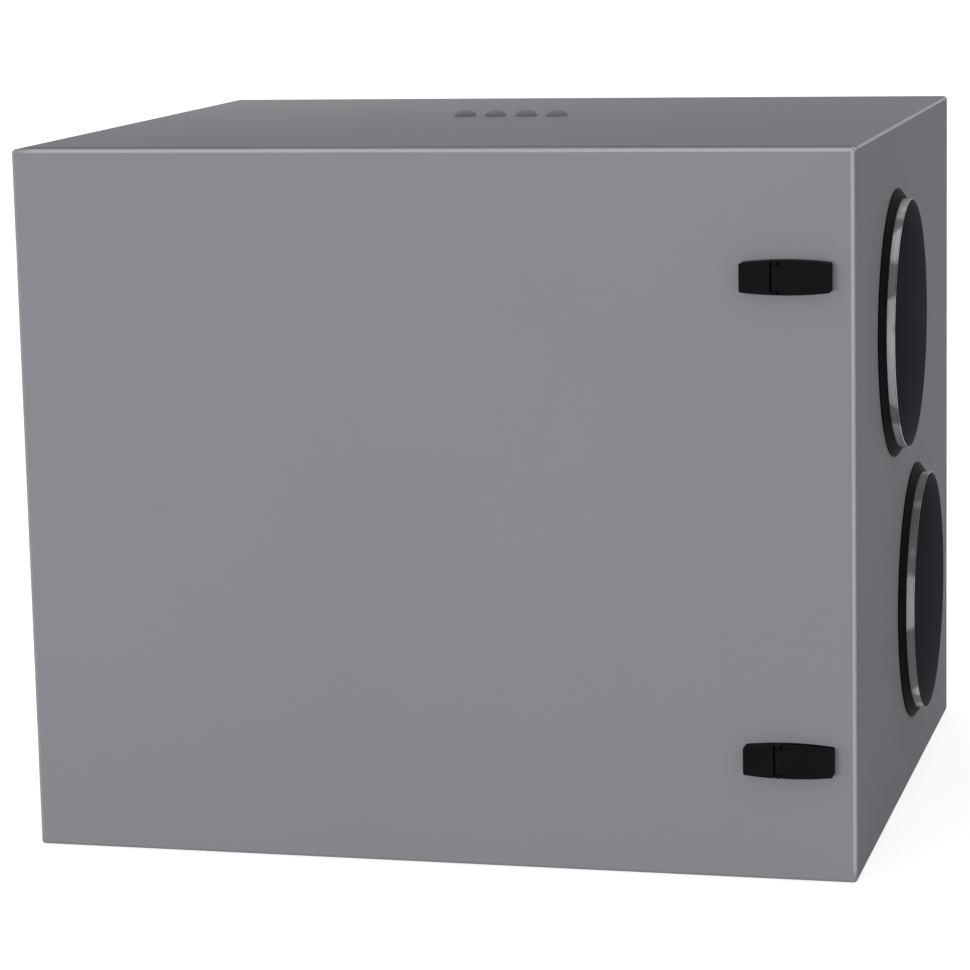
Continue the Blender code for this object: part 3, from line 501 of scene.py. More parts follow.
def diamond_frame(centre, outer, inner, near, far):
    """A flat square ring on its corner, from near to far along Y."""
    shape = bmesh.new()
    rings = []
    for y, reach in ((near, outer), (near, inner), (far, inner), (far, outer)):
        turns = ((reach, 0), (0, reach), (-reach, 0), (0, -reach))
        rings.append([(centre.x + dx, y, centre.z + dz) for dx, dz in turns])
    ringed(shape, rings)
    return closed_mesh(shape, "hem")


def swept(sections, name):
    """A closed solid through a row of sections, each a ring of points."""
    shape = bmesh.new()
    rows = [[shape.verts.new(point) for point in section] for section in sections]
    for this, following in zip(rows, rows[1:]):
        for k in range(len(this)):
            j = (k + 1) % len(this)
            shape.faces.new((this[k], this[j], following[j], following[k]))
    shape.faces.new(rows[0])
    shape.faces.new(reversed(rows[-1]))
    return closed_mesh(shape, name)


def block(low, high):
    """A box's mesh."""
    shape = bmesh.new()
    bmesh.ops.create_cube(shape, size=1.0)
    for vert in shape.verts:
        vert.co = Vector(low[i] + (vert.co[i] + 0.5) * (high[i] - low[i]) for i in range(3))
    return closed_mesh(shape, "block")


# Node trees that repeat a shape

def new_tree(name, inputs):
    """A geometry tree with named inputs: (name, socket type, default)."""
    tree = bpy.data.node_groups.new(name, "GeometryNodeTree")
    tree.interface.new_socket("Geometry", in_out="INPUT", socket_type="NodeSocketGeometry")
    for label, kind, default in inputs:
        socket = tree.interface.new_socket(label, in_out="INPUT", socket_type=kind)
        if default is not None:
            socket.default_value = default
    tree.interface.new_socket("Geometry", in_out="OUTPUT", socket_type="NodeSocketGeometry")
    tree.nodes.new("NodeGroupInput")
    tree.nodes.new("NodeGroupOutput")
    return tree


def step_node(tree, kind, sources=None, **settings):
    """A node whose settings and input values or links are given by name."""
    made = tree.nodes.new(kind)
    for key, value in settings.items():
        setattr(made, key, value)
    for key, value in (sources or {}).items():
        socket = made.inputs[key]
        if isinstance(value, bpy.types.NodeSocket):
            tree.links.new(value, socket)
        else:
            socket.default_value = value
    return made


def tree_ends(tree):
    start = next(n for n in tree.nodes if n.type == "GROUP_INPUT")
    end = next(n for n in tree.nodes if n.type == "GROUP_OUTPUT")
    return start.outputs, end.inputs


def finish_tree(tree, geometry, material):
    """Realize the instances, set their material and hand them out."""
    _, leave = tree_ends(tree)
    plain = step_node(tree, "GeometryNodeRealizeInstances", {"Geometry": geometry})
    painted = step_node(
        tree, "GeometryNodeSetMaterial", {"Geometry": plain.outputs[0], "Material": material}
    )
    tree.links.new(painted.outputs[0], leave["Geometry"])


def grow(name, tree, values, base=None):
    """Runs a tree on a base mesh and keeps the result as a plain mesh."""
    holder = link(name, base or bpy.data.meshes.new(name))
    step = holder.modifiers.new("Tree", "NODES")
    step.node_group = tree
    for item in tree.interface.items_tree:
        if item.item_type == "SOCKET" and item.in_out == "INPUT" and item.name in values:
            step[item.identifier] = values[item.name]
    graph = bpy.context.evaluated_depsgraph_get()
    mesh = bpy.data.meshes.new_from_object(holder.evaluated_get(graph), depsgraph=graph)
    holder.modifiers.remove(step)
    holder.data = mesh
    return holder


def fixing_tree():
    """Fixing heads on points, each turned to the point's facing: a drum with a chamfer and a socket."""
    tree = new_tree(
        "Fixing heads",
        [
            ("Radius", "NodeSocketFloat", 0.004),
            ("Height", "NodeSocketFloat", 0.002),
            ("Sides", "NodeSocketInt", 16),
            ("Socket depth", "NodeSocketFloat", 0.001),
            ("Material", "NodeSocketMaterial", None),
        ],
    )
    enter, _ = tree_ends(tree)
    drum = step_node(
        tree,
        "GeometryNodeMeshCircle",
        {"Vertices": enter["Sides"], "Radius": enter["Radius"]},
        fill_type="NGON",
    )

    foot = step_node(tree, "GeometryNodeFlipFaces", {"Mesh": drum.outputs["Mesh"]})

    def up(mesh, selection, height, spread_by):
        raised = step_node(
            tree,
            "GeometryNodeExtrudeMesh",
            {"Mesh": mesh, "Selection": selection, "Offset Scale": height},
            mode="FACES",
        )
        scaled = step_node(
            tree,
            "GeometryNodeScaleElements",
            {"Geometry": raised.outputs["Mesh"], "Selection": raised.outputs["Top"], "Scale": spread_by},
            domain="FACE",
        )
        return scaled.outputs["Geometry"], raised.outputs["Top"]

    wall = step_node(tree, "ShaderNodeMath", {0: enter["Height"], 1: 0.65}, operation="MULTIPLY")
    crown = step_node(tree, "ShaderNodeMath", {0: enter["Height"], 1: 0.35}, operation="MULTIPLY")
    sink = step_node(tree, "ShaderNodeMath", {0: enter["Socket depth"], 1: -1.0}, operation="MULTIPLY")
    mesh, top = up(drum.outputs["Mesh"], True, wall.outputs[0], 1.0)
    mesh, top = up(mesh, top, crown.outputs[0], 0.84)
    mesh, top = up(mesh, top, 0.0, 0.52)
    mesh, top = up(mesh, top, sink.outputs[0], 0.92)
    closed = step_node(tree, "GeometryNodeJoinGeometry")
    tree.links.new(mesh, closed.inputs[0])
    tree.links.new(foot.outputs[0], closed.inputs[0])
    head = step_node(
        tree, "GeometryNodeMergeByDistance", {"Geometry": closed.outputs[0], "Distance": 0.00001}
    )
    facing = step_node(
        tree, "GeometryNodeInputNamedAttribute", {"Name": "facing"}, data_type="FLOAT_VECTOR"
    )
    aim = step_node(
        tree,
        "FunctionNodeAlignRotationToVector",
        {"Vector": facing.outputs["Attribute"]},
        axis="Z",
    )
    heads = step_node(
        tree,
        "GeometryNodeInstanceOnPoints",
        {
            "Points": enter["Geometry"],
            "Instance": head.outputs[0],
            "Rotation": aim.outputs["Rotation"],
        },
    )
    turn = step_node(
        tree,
        "FunctionNodeRandomValue",
        {2: 0.0, 3: math.pi, "Seed": 7},
        data_type="FLOAT",
    )
    spin = step_node(tree, "ShaderNodeCombineXYZ", {"Z": turn.outputs[1]})
    rotated = step_node(
        tree,
        "GeometryNodeRotateInstances",
        {"Instances": heads.outputs["Instances"], "Rotation": spin.outputs["Vector"], "Local Space": True},
    )
    finish_tree(tree, rotated.outputs["Instances"], enter["Material"])
    return tree


def add_fixings(name, body, spots, radius, height, sides=20, recess=0.4):
    """Fixing heads at (place, facing) pairs. recess is the socket's depth as a share of the height."""
    tree = bpy.data.node_groups.get("Fixing heads") or fixing_tree()
    values = {
        "Radius": radius,
        "Height": height,
        "Sides": sides,
        "Socket depth": height * recess,
        "Material": finish_named("zinc plated fixings"),
    }
    piece = grow(name, tree, values, points_mesh(spots))
    smooth(piece.data)
    return settle(piece, body, "galvanised_steel")


def spaced(first, last, count):
    """Evenly spaced numbers from first to last."""
    return [first + (last - first) * i / (count - 1) for i in range(count)]


def points_mesh(spots):
    """Points for fixings: (place, facing) pairs."""
    mesh = bpy.data.meshes.new("spots")
    mesh.from_pydata([place for place, _ in spots], [], [])
    facing = mesh.attributes.new("facing", "FLOAT_VECTOR", "POINT")
    for entry, (_, direction) in zip(facing.data, spots):
        entry.vector = direction
    return mesh


def ring_tree():
    """The base shape, drawn round the X axis, repeated evenly round that axis at a centre."""
    tree = new_tree(
        "Ring of copies",
        [
            ("Count", "NodeSocketInt", 7),
            ("Centre", "NodeSocketVector", None),
            ("Material", "NodeSocketMaterial", None),
        ],
    )
    enter, _ = tree_ends(tree)
    places = step_node(
        tree,
        "GeometryNodeMeshLine",
        {"Count": enter["Count"], "Start Location": enter["Centre"], "Offset": (0.0, 0.0, 0.0)},
    )
    index = step_node(tree, "GeometryNodeInputIndex")
    share = step_node(tree, "ShaderNodeMath", {0: index.outputs[0], 1: enter["Count"]}, operation="DIVIDE")
    angle = step_node(tree, "ShaderNodeMath", {0: share.outputs[0], 1: 2 * math.pi}, operation="MULTIPLY")
    turn = step_node(tree, "ShaderNodeCombineXYZ", {"X": angle.outputs[0]})
    copies = step_node(
        tree,
        "GeometryNodeInstanceOnPoints",
        {"Points": places.outputs["Mesh"], "Instance": enter["Geometry"], "Rotation": turn.outputs[0]},
    )
    finish_tree(tree, copies.outputs["Instances"], enter["Material"])
    return tree


def plate_stack_tree():
    """Square plates in a row, with a closing strip on every second pair of sides between two of them."""
    tree = new_tree(
        "Plate stack",
        [
            ("Count", "NodeSocketInt", 10),
            ("Pitch", "NodeSocketFloat", 0.005),
            ("Side", "NodeSocketFloat", 0.4),
            ("Sheet", "NodeSocketFloat", 0.0006),
            ("Fold", "NodeSocketFloat", 0.004),
            ("Start", "NodeSocketVector", None),
            ("Material", "NodeSocketMaterial", None),
        ],
    )
    enter, _ = tree_ends(tree)
    step = step_node(tree, "ShaderNodeCombineXYZ", {"Y": enter["Pitch"]})
    plates_at = step_node(
        tree,
        "GeometryNodeMeshLine",
        {"Count": enter["Count"], "Start Location": enter["Start"], "Offset": step.outputs[0]},
    )
    plate_size = step_node(
        tree, "ShaderNodeCombineXYZ", {"X": enter["Side"], "Y": enter["Sheet"], "Z": enter["Side"]}
    )
    plate = step_node(tree, "GeometryNodeMeshCube", {"Size": plate_size.outputs[0]})
    quarter = math.pi / 4
    plates = step_node(
        tree,
        "GeometryNodeInstanceOnPoints",
        {
            "Points": plates_at.outputs["Mesh"],
            "Instance": plate.outputs["Mesh"],
            "Rotation": (0.0, quarter, 0.0),
        },
    )
    gaps = step_node(tree, "ShaderNodeMath", {0: enter["Count"], 1: 1.0}, operation="SUBTRACT")
    half_step = step_node(
        tree, "ShaderNodeVectorMath", {0: step.outputs[0], "Scale": 0.5}, operation="SCALE"
    )
    gap_start = step_node(
        tree, "ShaderNodeVectorMath", {0: enter["Start"], 1: half_step.outputs[0]}, operation="ADD"
    )
    gaps_at = step_node(
        tree,
        "GeometryNodeMeshLine",
        {"Count": gaps.outputs[0], "Start Location": gap_start.outputs[0], "Offset": step.outputs[0]},
    )
    room = step_node(tree, "ShaderNodeMath", {0: enter["Pitch"], 1: enter["Sheet"]}, operation="SUBTRACT")
    strip_size = step_node(
        tree, "ShaderNodeCombineXYZ", {"X": enter["Side"], "Y": room.outputs[0], "Z": enter["Fold"]}
    )
    strip = step_node(tree, "GeometryNodeMeshCube", {"Size": strip_size.outputs[0]})
    reach = step_node(tree, "ShaderNodeMath", {0: enter["Side"], 1: enter["Fold"]}, operation="SUBTRACT")
    out = step_node(tree, "ShaderNodeMath", {0: reach.outputs[0], 1: 0.5}, operation="MULTIPLY")
    strips = []
    for sign in (1.0, -1.0):
        moved = step_node(tree, "ShaderNodeMath", {0: out.outputs[0], 1: sign}, operation="MULTIPLY")
        shift = step_node(tree, "ShaderNodeCombineXYZ", {"Z": moved.outputs[0]})
        strips.append(
            step_node(
                tree,
                "GeometryNodeTransform",
                {"Geometry": strip.outputs["Mesh"], "Translation": shift.outputs[0]},
            ).outputs[0]
        )
    pair = step_node(tree, "GeometryNodeJoinGeometry")
    for one in strips:
        tree.links.new(one, pair.inputs[0])
    index = step_node(tree, "GeometryNodeInputIndex")
    odd = step_node(tree, "ShaderNodeMath", {0: index.outputs[0], 1: 2.0}, operation="MODULO")
    lean = step_node(
        tree,
        "ShaderNodeMath",
        {0: odd.outputs[0], 1: math.pi / 2, 2: quarter},
        operation="MULTIPLY_ADD",
    )
    turn = step_node(tree, "ShaderNodeCombineXYZ", {"Y": lean.outputs[0]})
    closings = step_node(
        tree,
        "GeometryNodeInstanceOnPoints",
        {"Points": gaps_at.outputs["Mesh"], "Instance": pair.outputs[0], "Rotation": turn.outputs[0]},
    )
    both = step_node(tree, "GeometryNodeJoinGeometry")
    tree.links.new(plates.outputs[0], both.inputs[0])
    tree.links.new(closings.outputs[0], both.inputs[0])
    finish_tree(tree, both.outputs[0], enter["Material"])
    return tree


def pleat_tree():
    """A folded sheet: a zigzag line with rounded folds, drawn up to the sheet's height."""
    tree = new_tree(
        "Pleats",
        [
            ("Start", "NodeSocketVector", None),
            ("End", "NodeSocketVector", None),
            ("Folds", "NodeSocketInt", 20),
            ("Depth", "NodeSocketFloat", 0.04),
            ("Sheet", "NodeSocketFloat", 0.001),
            ("Height", "NodeSocketFloat", 0.3),
            ("Fold radius", "NodeSocketFloat", 0.002),
            ("Material", "NodeSocketMaterial", None),
        ],
    )
    enter, _ = tree_ends(tree)
    line = step_node(
        tree, "GeometryNodeCurvePrimitiveLine", {"Start": enter["Start"], "End": enter["End"]}
    )
    corners = step_node(tree, "ShaderNodeMath", {0: enter["Folds"], 1: 1.0}, operation="ADD")
    cut = step_node(
        tree, "GeometryNodeResampleCurve", {"Curve": line.outputs[0], "Count": corners.outputs[0]}
    )
    index = step_node(tree, "GeometryNodeInputIndex")
    odd = step_node(tree, "ShaderNodeMath", {0: index.outputs[0], 1: 2.0}, operation="MODULO")
    side = step_node(tree, "ShaderNodeMath", {0: odd.outputs[0], 1: 0.5}, operation="SUBTRACT")
    out = step_node(
        tree, "ShaderNodeMath", {0: side.outputs[0], 1: enter["Depth"]}, operation="MULTIPLY"
    )
    offset = step_node(tree, "ShaderNodeCombineXYZ", {"X": out.outputs[0]})
    folded = step_node(
        tree, "GeometryNodeSetPosition", {"Geometry": cut.outputs[0], "Offset": offset.outputs[0]}
    )
    rounded = step_node(
        tree,
        "GeometryNodeFilletCurve",
        {"Curve": folded.outputs[0], "Count": 3, "Radius": enter["Fold radius"], "Limit Radius": True},
        mode="POLY",
    )
    upright = step_node(
        tree, "GeometryNodeSetCurveNormal", {"Curve": rounded.outputs[0]}, mode="Z_UP"
    )
    section = step_node(
        tree,
        "GeometryNodeCurvePrimitiveQuadrilateral",
        {"Width": enter["Sheet"], "Height": enter["Height"]},
        mode="RECTANGLE",
    )
    sheet = step_node(
        tree,
        "GeometryNodeCurveToMesh",
        {"Curve": upright.outputs[0], "Profile Curve": section.outputs[0], "Fill Caps": True},
    )
    finish_tree(tree, sheet.outputs[0], enter["Material"])
    return tree


# Values a user may change

class AIRUNIT_PG_finish(bpy.types.PropertyGroup):
    """Colours and grain of the finishes"""

    casing_colour: FloatVectorProperty(
        name="Casing paint",
        description="Colour of the powder coat on the cabinet",
        subtype="COLOR",
        min=0,
        max=1,
        default=SLOT_COLOURS["door_paint"],
    )
    door_colour: FloatVectorProperty(
        name="Door paint",
        description="Colour of the powder coat on the door",
        subtype="COLOR",
        min=0,
        max=1,
        default=SLOT_COLOURS["door_paint"],
    )
    # Painted highlight on the cabinet's rounded edges.
    casing_edge_highlight_colour: FloatVectorProperty(
        name="Casing edge highlight",
        description="Colour of the painted highlight on the cabinet's rounded edges",
        subtype="COLOR",
        min=0,
        max=1,
        default=(0.60, 0.60, 0.62),
    )
    # Painted highlight on the door's rounded front edges.
    edge_highlight_colour: FloatVectorProperty(
        name="Door edge highlight",
        description="Colour of the painted highlight on the edges round the door's front",
        subtype="COLOR",
        min=0,
        max=1,
        default=(0.44, 0.44, 0.46),
    )
    # Widths of the painted edge highlights.
    edge_highlight_band: FloatProperty(
        name="Door edge highlight band",
        description="Width of the painted highlight beside the door's edges",
        unit="LENGTH",
        default=0.0090,
        min=0,
    )
    casing_edge_highlight_band: FloatProperty(
        name="Casing edge highlight band",
        description="Width of the painted highlight beside the cabinet's edges",
        unit="LENGTH",
        default=0.0048,
        min=0,
    )
    # Painted shade inside the duct collars.
    collar_shade_colour: FloatVectorProperty(
        name="Collar inside shade",
        description="Colour of the painted shade inside the duct collars",
        subtype="COLOR",
        min=0,
        max=1,
        default=(0.036, 0.038, 0.048),
    )
    gland_colour: FloatVectorProperty(
        name="Gland rubber",
        description="Colour of the cable glands",
        subtype="COLOR",
        min=0,
        max=1,
        default=(0.245, 0.250, 0.262),
    )
    paint_variation: FloatProperty(
        name="Paint variation",
        description="How far the paint's colour wanders, as a share",
        default=0.012,
        min=0,
        max=0.2,
    )
    paint_roughness: FloatProperty(
        name="Paint roughness", description="Roughness of the powder coat", default=0.52, min=0, max=1
    )
    paint_gloss: FloatProperty(
        name="Paint gloss", description="Strength of the powder coat's reflection", default=0.005, min=0, max=1
    )
    peel_scale: FloatProperty(
        name="Orange peel scale", description="Waves of the powder coat's skin in a metre", default=420.0
    )
    peel_strength: FloatProperty(
        name="Orange peel strength", description="Strength of the powder coat's waves", default=0.10
    )
    peel_height: FloatProperty(
        name="Orange peel height", description="Height of the powder coat's waves", unit="LENGTH", default=0.0002
    )
    cloud_scale: FloatProperty(
        name="Cloud scale", description="Large soft patches in a metre", default=2.5
    )
    spangle_scale: FloatProperty(
        name="Spangle scale", description="Zinc crystals in a metre", default=160.0
    )
    # Size of the painted reflection patches on the collars.
    reflection_patch_scale: FloatProperty(
        name="Collar reflection patch scale", description="Painted reflection patches of the collars in a metre", default=13.0
    )
    zinc_roughness: FloatProperty(
        name="Zinc roughness", description="Roughness of the smoothest zinc crystals", default=0.40, min=0, max=1
    )
    grain_scale: FloatProperty(
        name="Grain scale", description="Fine grain of metal and rubber in a metre", default=900.0
    )
    plastic_scale: FloatProperty(
        name="Plastic grain scale", description="Grain of the moulded plastic in a metre", default=1600.0
    )
    rolling_scale: FloatProperty(
        name="Rolling line scale", description="Rolling lines of the aluminium in a metre", default=260.0
    )
    fibre_scale: FloatProperty(
        name="Fibre scale", description="Fibres of the filter fleece in a metre", default=700.0
    )


class AIRUNIT_PG_parts(bpy.types.PropertyGroup):
    """Sizes of the small parts"""

    screw_radius: FloatProperty(
        name="Screw head radius", description="Radius of a screw head", unit="LENGTH", default=0.0042
    )
    screw_height: FloatProperty(
        name="Screw head height", description="Height of a screw head", unit="LENGTH", default=0.0016
    )
    rivet_radius: FloatProperty(
        name="Rivet radius", description="Radius of a blind rivet's head", unit="LENGTH", default=0.0032
    )
    rivet_height: FloatProperty(
        name="Rivet height", description="Height of a blind rivet's head", unit="LENGTH", default=0.0011
    )
    latch_round: FloatProperty(
        name="Latch edge round", description="Rounding of the latches' edges", unit="LENGTH", default=0.0009
    )
    plate_pitch: FloatProperty(
        name="Plate pitch", description="Distance between two exchanger plates", unit="LENGTH", default=0.0050
    )
    plate_sheet: FloatProperty(
        name="Plate thickness", description="Thickness of an exchanger plate", unit="LENGTH", default=0.0006
    )
    plate_fold: FloatProperty(
        name="Plate fold", description="Depth of the fold that closes two plates", unit="LENGTH", default=0.0040
    )
    pleat_pitch: FloatProperty(
        name="Pleat pitch", description="Distance between two pleats of a filter", unit="LENGTH", default=0.0120
    )
    pleat_sheet: FloatProperty(
        name="Fleece thickness", description="Thickness of the filter fleece", unit="LENGTH", default=0.0012
    )
    pleat_round: FloatProperty(
        name="Pleat fold radius", description="Radius of the fleece's folds", unit="LENGTH", default=0.0018
    )
    collar_sheet: FloatProperty(
        name="Collar sheet", description="Thickness of a duct collar's sheet", unit="LENGTH", default=0.0014
    )
    collar_bead: FloatProperty(
        name="Collar bead", description="Radius of the bead at a duct collar's tip", unit="LENGTH", default=0.0007
    )
    seal_lip: FloatProperty(
        name="Seal lip", description="Rounding of the duct seals' lips", unit="LENGTH", default=0.0013
    )
    gland_flange: FloatProperty(
        name="Gland flange", description="Height of a cable gland's flange", unit="LENGTH", default=0.0010
    )
    door_rim: FloatProperty(
        name="Door rim", description="Depth of the door's rim", unit="LENGTH", default=0.0220
    )
    door_fold: FloatProperty(
        name="Door fold", description="Thickness of the lip folded back round the door", unit="LENGTH", default=0.0015
    )
    fold_gap: FloatProperty(
        name="Fold gap", description="Gap between the door's lip and the cabinet", unit="LENGTH", default=0.0008
    )
    hinge_gap: FloatProperty(
        name="Hinge side gap", description="Gap at the lip beside the hinges, which turns past the cabinet",
        unit="LENGTH", default=0.0025,
    )
    leaf_room: FloatProperty(
        name="Leaf room", description="Room left in the lip above and below a hinge leaf", unit="LENGTH",
        default=0.0040,
    )
    corner_round: FloatProperty(
        name="Corner round", description="Rounding of the cabinet's and the door's edges", unit="LENGTH",
        default=0.0045,
    )
    fold_sheet: FloatProperty(
        name="Folded sheet", description="Thickness of hems, lids and inlets", unit="LENGTH", default=0.0010
    )
    fan_sheet: FloatProperty(
        name="Fan plate", description="Thickness of the fans' wall and motor plates", unit="LENGTH", default=0.0030
    )
    inlet_radius: FloatProperty(
        name="Shroud mouth", description="Radius of the impellers' mouths", unit="LENGTH", default=0.0900
    )
    nozzle_curl: FloatProperty(
        name="Inlet curl", description="Width of the curve of the fans' inlets", unit="LENGTH", default=0.0140
    )
    nozzle_flange: FloatProperty(
        name="Inlet flange", description="Width of the inlets' flange on the plate", unit="LENGTH", default=0.0180
    )
    impeller_sheet: FloatProperty(
        name="Impeller sheet", description="Thickness of the shrouds and discs", unit="LENGTH", default=0.0020
    )
    blade_count: IntProperty(name="Blades", description="Blades of an impeller", default=7, min=3)
    blade_sheet: FloatProperty(
        name="Blade thickness", description="Thickness of a blade", unit="LENGTH", default=0.0022
    )
    blade_foot: FloatProperty(
        name="Blade foot", description="Radius at which the blades start", unit="LENGTH", default=0.0855
    )
    blade_inset: FloatProperty(
        name="Blade inset", description="How far the blades end inside the rim", unit="LENGTH", default=0.0030
    )
    blade_lead: FloatProperty(
        name="Blade lead", description="How far the blades start behind the mouth", unit="LENGTH", default=0.0100
    )
    blade_sweep: FloatProperty(
        name="Blade sweep", description="Angle that a blade runs through", subtype="ANGLE",
        default=math.radians(55),
    )
    motor_round: FloatProperty(
        name="Motor edge round", description="Rounding of the motors' edges", unit="LENGTH", default=0.0050
    )
    motor_gap: FloatProperty(
        name="Motor gap", description="Gap between rotor and stator flange", unit="LENGTH", default=0.0015
    )
    motor_flange: FloatProperty(
        name="Motor flange", description="Thickness of the stator's flange", unit="LENGTH", default=0.0090
    )
    motor_bolt_ring: FloatProperty(
        name="Motor bolt ring", description="Radius of the ring of motor bolts", unit="LENGTH", default=0.0360
    )
    stay_radius: FloatProperty(
        name="Stay radius", description="Radius of the fans' stays", unit="LENGTH", default=0.0050
    )
    stay_border: FloatProperty(
        name="Stay border", description="Distance of the stays from the plate's edge", unit="LENGTH", default=0.0100
    )
    gasket_round: FloatProperty(
        name="Gasket round", description="Rounding of the door gasket", unit="LENGTH", default=0.0013
    )
    sheet_round: FloatProperty(
        name="Sheet edge round", description="Rounding of thin sheets", unit="LENGTH", default=0.0006
    )
    box_round: FloatProperty(
        name="Frame edge round", description="Rounding of the filter frames", unit="LENGTH", default=0.0012
    )
    hem_width: FloatProperty(
        name="Hem width", description="Width of the exchanger plate's hem", unit="LENGTH", default=0.0160
    )
    leaf_sheet: FloatProperty(
        name="Hinge leaf", description="Thickness of the hinges' leaves", unit="LENGTH", default=0.0025
    )
    screw_border: FloatProperty(
        name="Screw border", description="Distance of the hinge screws from the leaf's edge", unit="LENGTH",
        default=0.0090,
    )
    plug_gap: FloatProperty(
        name="Plug clearance", description="Gap round the door's insulated plug", unit="LENGTH", default=0.0060
    )
    rivet_inset: FloatProperty(
        name="Rivet inset", description="Distance of the rivets from a panel's edge", unit="LENGTH",
        default=0.0140,
    )
    lid_border: FloatProperty(
        name="Lid border", description="Border round the control box's lid", unit="LENGTH", default=0.0040
    )
    round_steps: IntProperty(
        name="Round steps", description="Facets of the round sheet parts", default=96, min=12
    )


class AIRUNIT_PG_studio(bpy.types.PropertyGroup):
    """Camera, lamps and background"""

    camera_place: FloatVectorProperty(
        name="Camera place", description="Where the camera stands", subtype="XYZ", unit="LENGTH",
        default=(1.114, -4.533, 1.209),
    )
    camera_target: FloatVectorProperty(
        name="Camera target", description="The point the camera looks at", subtype="XYZ", unit="LENGTH",
        default=(-0.0319, -0.0470, 0.4025),
    )
    camera_roll: FloatProperty(
        name="Camera roll", description="Clockwise turn of the camera", subtype="ANGLE",
        default=math.radians(1.256),
    )
    lens: FloatProperty(name="Lens", description="Focal length in millimetres", default=131.7)
    ambient: FloatProperty(
        name="Ambient", description="Strength of the light from all round", default=0.58
    )
    key_power: FloatProperty(name="Key lamp", description="Power of the front lamp in watts", default=250.0)
    top_power: FloatProperty(name="Top lamp", description="Power of the lamp overhead in watts", default=4.2)
    floor_glow: FloatProperty(
        name="Floor glow", description="How far the floor is lifted to white for the camera", default=0.66
    )


# Steps

class StepBase:
    """What every step's button shares"""

    bl_options = {"REGISTER", "UNDO"}

    @property
    def finish(self):
        return bpy.context.scene.air_unit_finish

    @property
    def parts(self):
        return bpy.context.scene.air_unit_parts


def finish_named(name):
    return bpy.data.materials[name]


def dress(material, *nodes):
    """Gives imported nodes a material."""
    for node in nodes:
        data = frame["nodes"][node].data
        data.materials.clear()
        data.materials.append(material)


class AIRUNIT_OT_finishes(StepBase, bpy.types.Operator):
    """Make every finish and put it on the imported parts"""

    bl_idname = "air_unit.finishes"
    bl_label = "Finishes"

    def execute(self, context):
        look = self.finish
        casing_low = (-SIDE_X, -BEYOND, 0.0)
        casing_high = (SIDE_X, CASE_BACK_Y, WALL_TOP)
        chamber_low = (-INNER_X - PLANE_SLACK, CASE_FRONT_Y - PLANE_SLACK, INNER_FLOOR_Z - PLANE_SLACK)
        chamber_high = (INNER_X + PLANE_SLACK, INNER_BACK_Y + PLANE_SLACK, INNER_TOP_Z + PLANE_SLACK)
        # Both paints carry a painted highlight along their rounded edges.
        casing = double_skin(
            "casing paint", look, look.casing_colour,
            chamber_low, chamber_high, (casing_low, casing_high), look.casing_edge_highlight_band,
        )
        door_low, door_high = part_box("door_panel")
        rim_back = CASE_FRONT_Y - 0.006
        plug_low = (-INNER_X, rim_back, INNER_FLOOR_Z)
        plug_high = (INNER_X, door_high.y + PLANE_SLACK, INNER_TOP_Z)
        door_edges = (tuple(door_low), (door_high.x, BEYOND, door_high.z))
        door = double_skin(
            "door paint", look, look.door_colour, plug_low, plug_high, door_edges, look.edge_highlight_band
        )
        zinc = zinc_sheet("galvanised steel", look, SLOT_COLOURS["galvanised_steel"])
        metal = mill_aluminium("aluminium", look, SLOT_COLOURS["aluminium"], (0.08, 1, 1))
        bright_zinc("zinc plated fixings", look)
        # Collar zinc with painted reflections.
        collar_steel_painted_reflections("collar steel with painted reflections", look, SLOT_COLOURS["galvanised_steel"])
        # Dark painted shade for the collars' inside.
        rubber("painted collar shade", look, look.collar_shade_colour, 0.45, 0.25)
        black = moulded_plastic("black plastic", look, shade(SLOT_COLOURS["black_plastic"], 0.54), 0.5)
        seal = rubber("black rubber", look, shade(SLOT_COLOURS["black_rubber"], 0.5), 0.68)
        grey = rubber("grey rubber", look, look.gland_colour, 0.6)
        fleece = filter_fleece("filter fleece", look, SLOT_COLOURS["filter_cloth"])
        by_slot = {
            "casing_paint": casing,
            "door_paint": door,
            "galvanised_steel": zinc,
            "aluminium": metal,
            "black_plastic": black,
            "black_rubber": seal,
            "grey_rubber": grey,
            "filter_cloth": fleece,
        }
        for entry in frame["record"]["subparts"]:
            if entry["material_slot"] in by_slot:
                dress(by_slot[entry["material_slot"]], entry["node"])
        return {"FINISHED"}


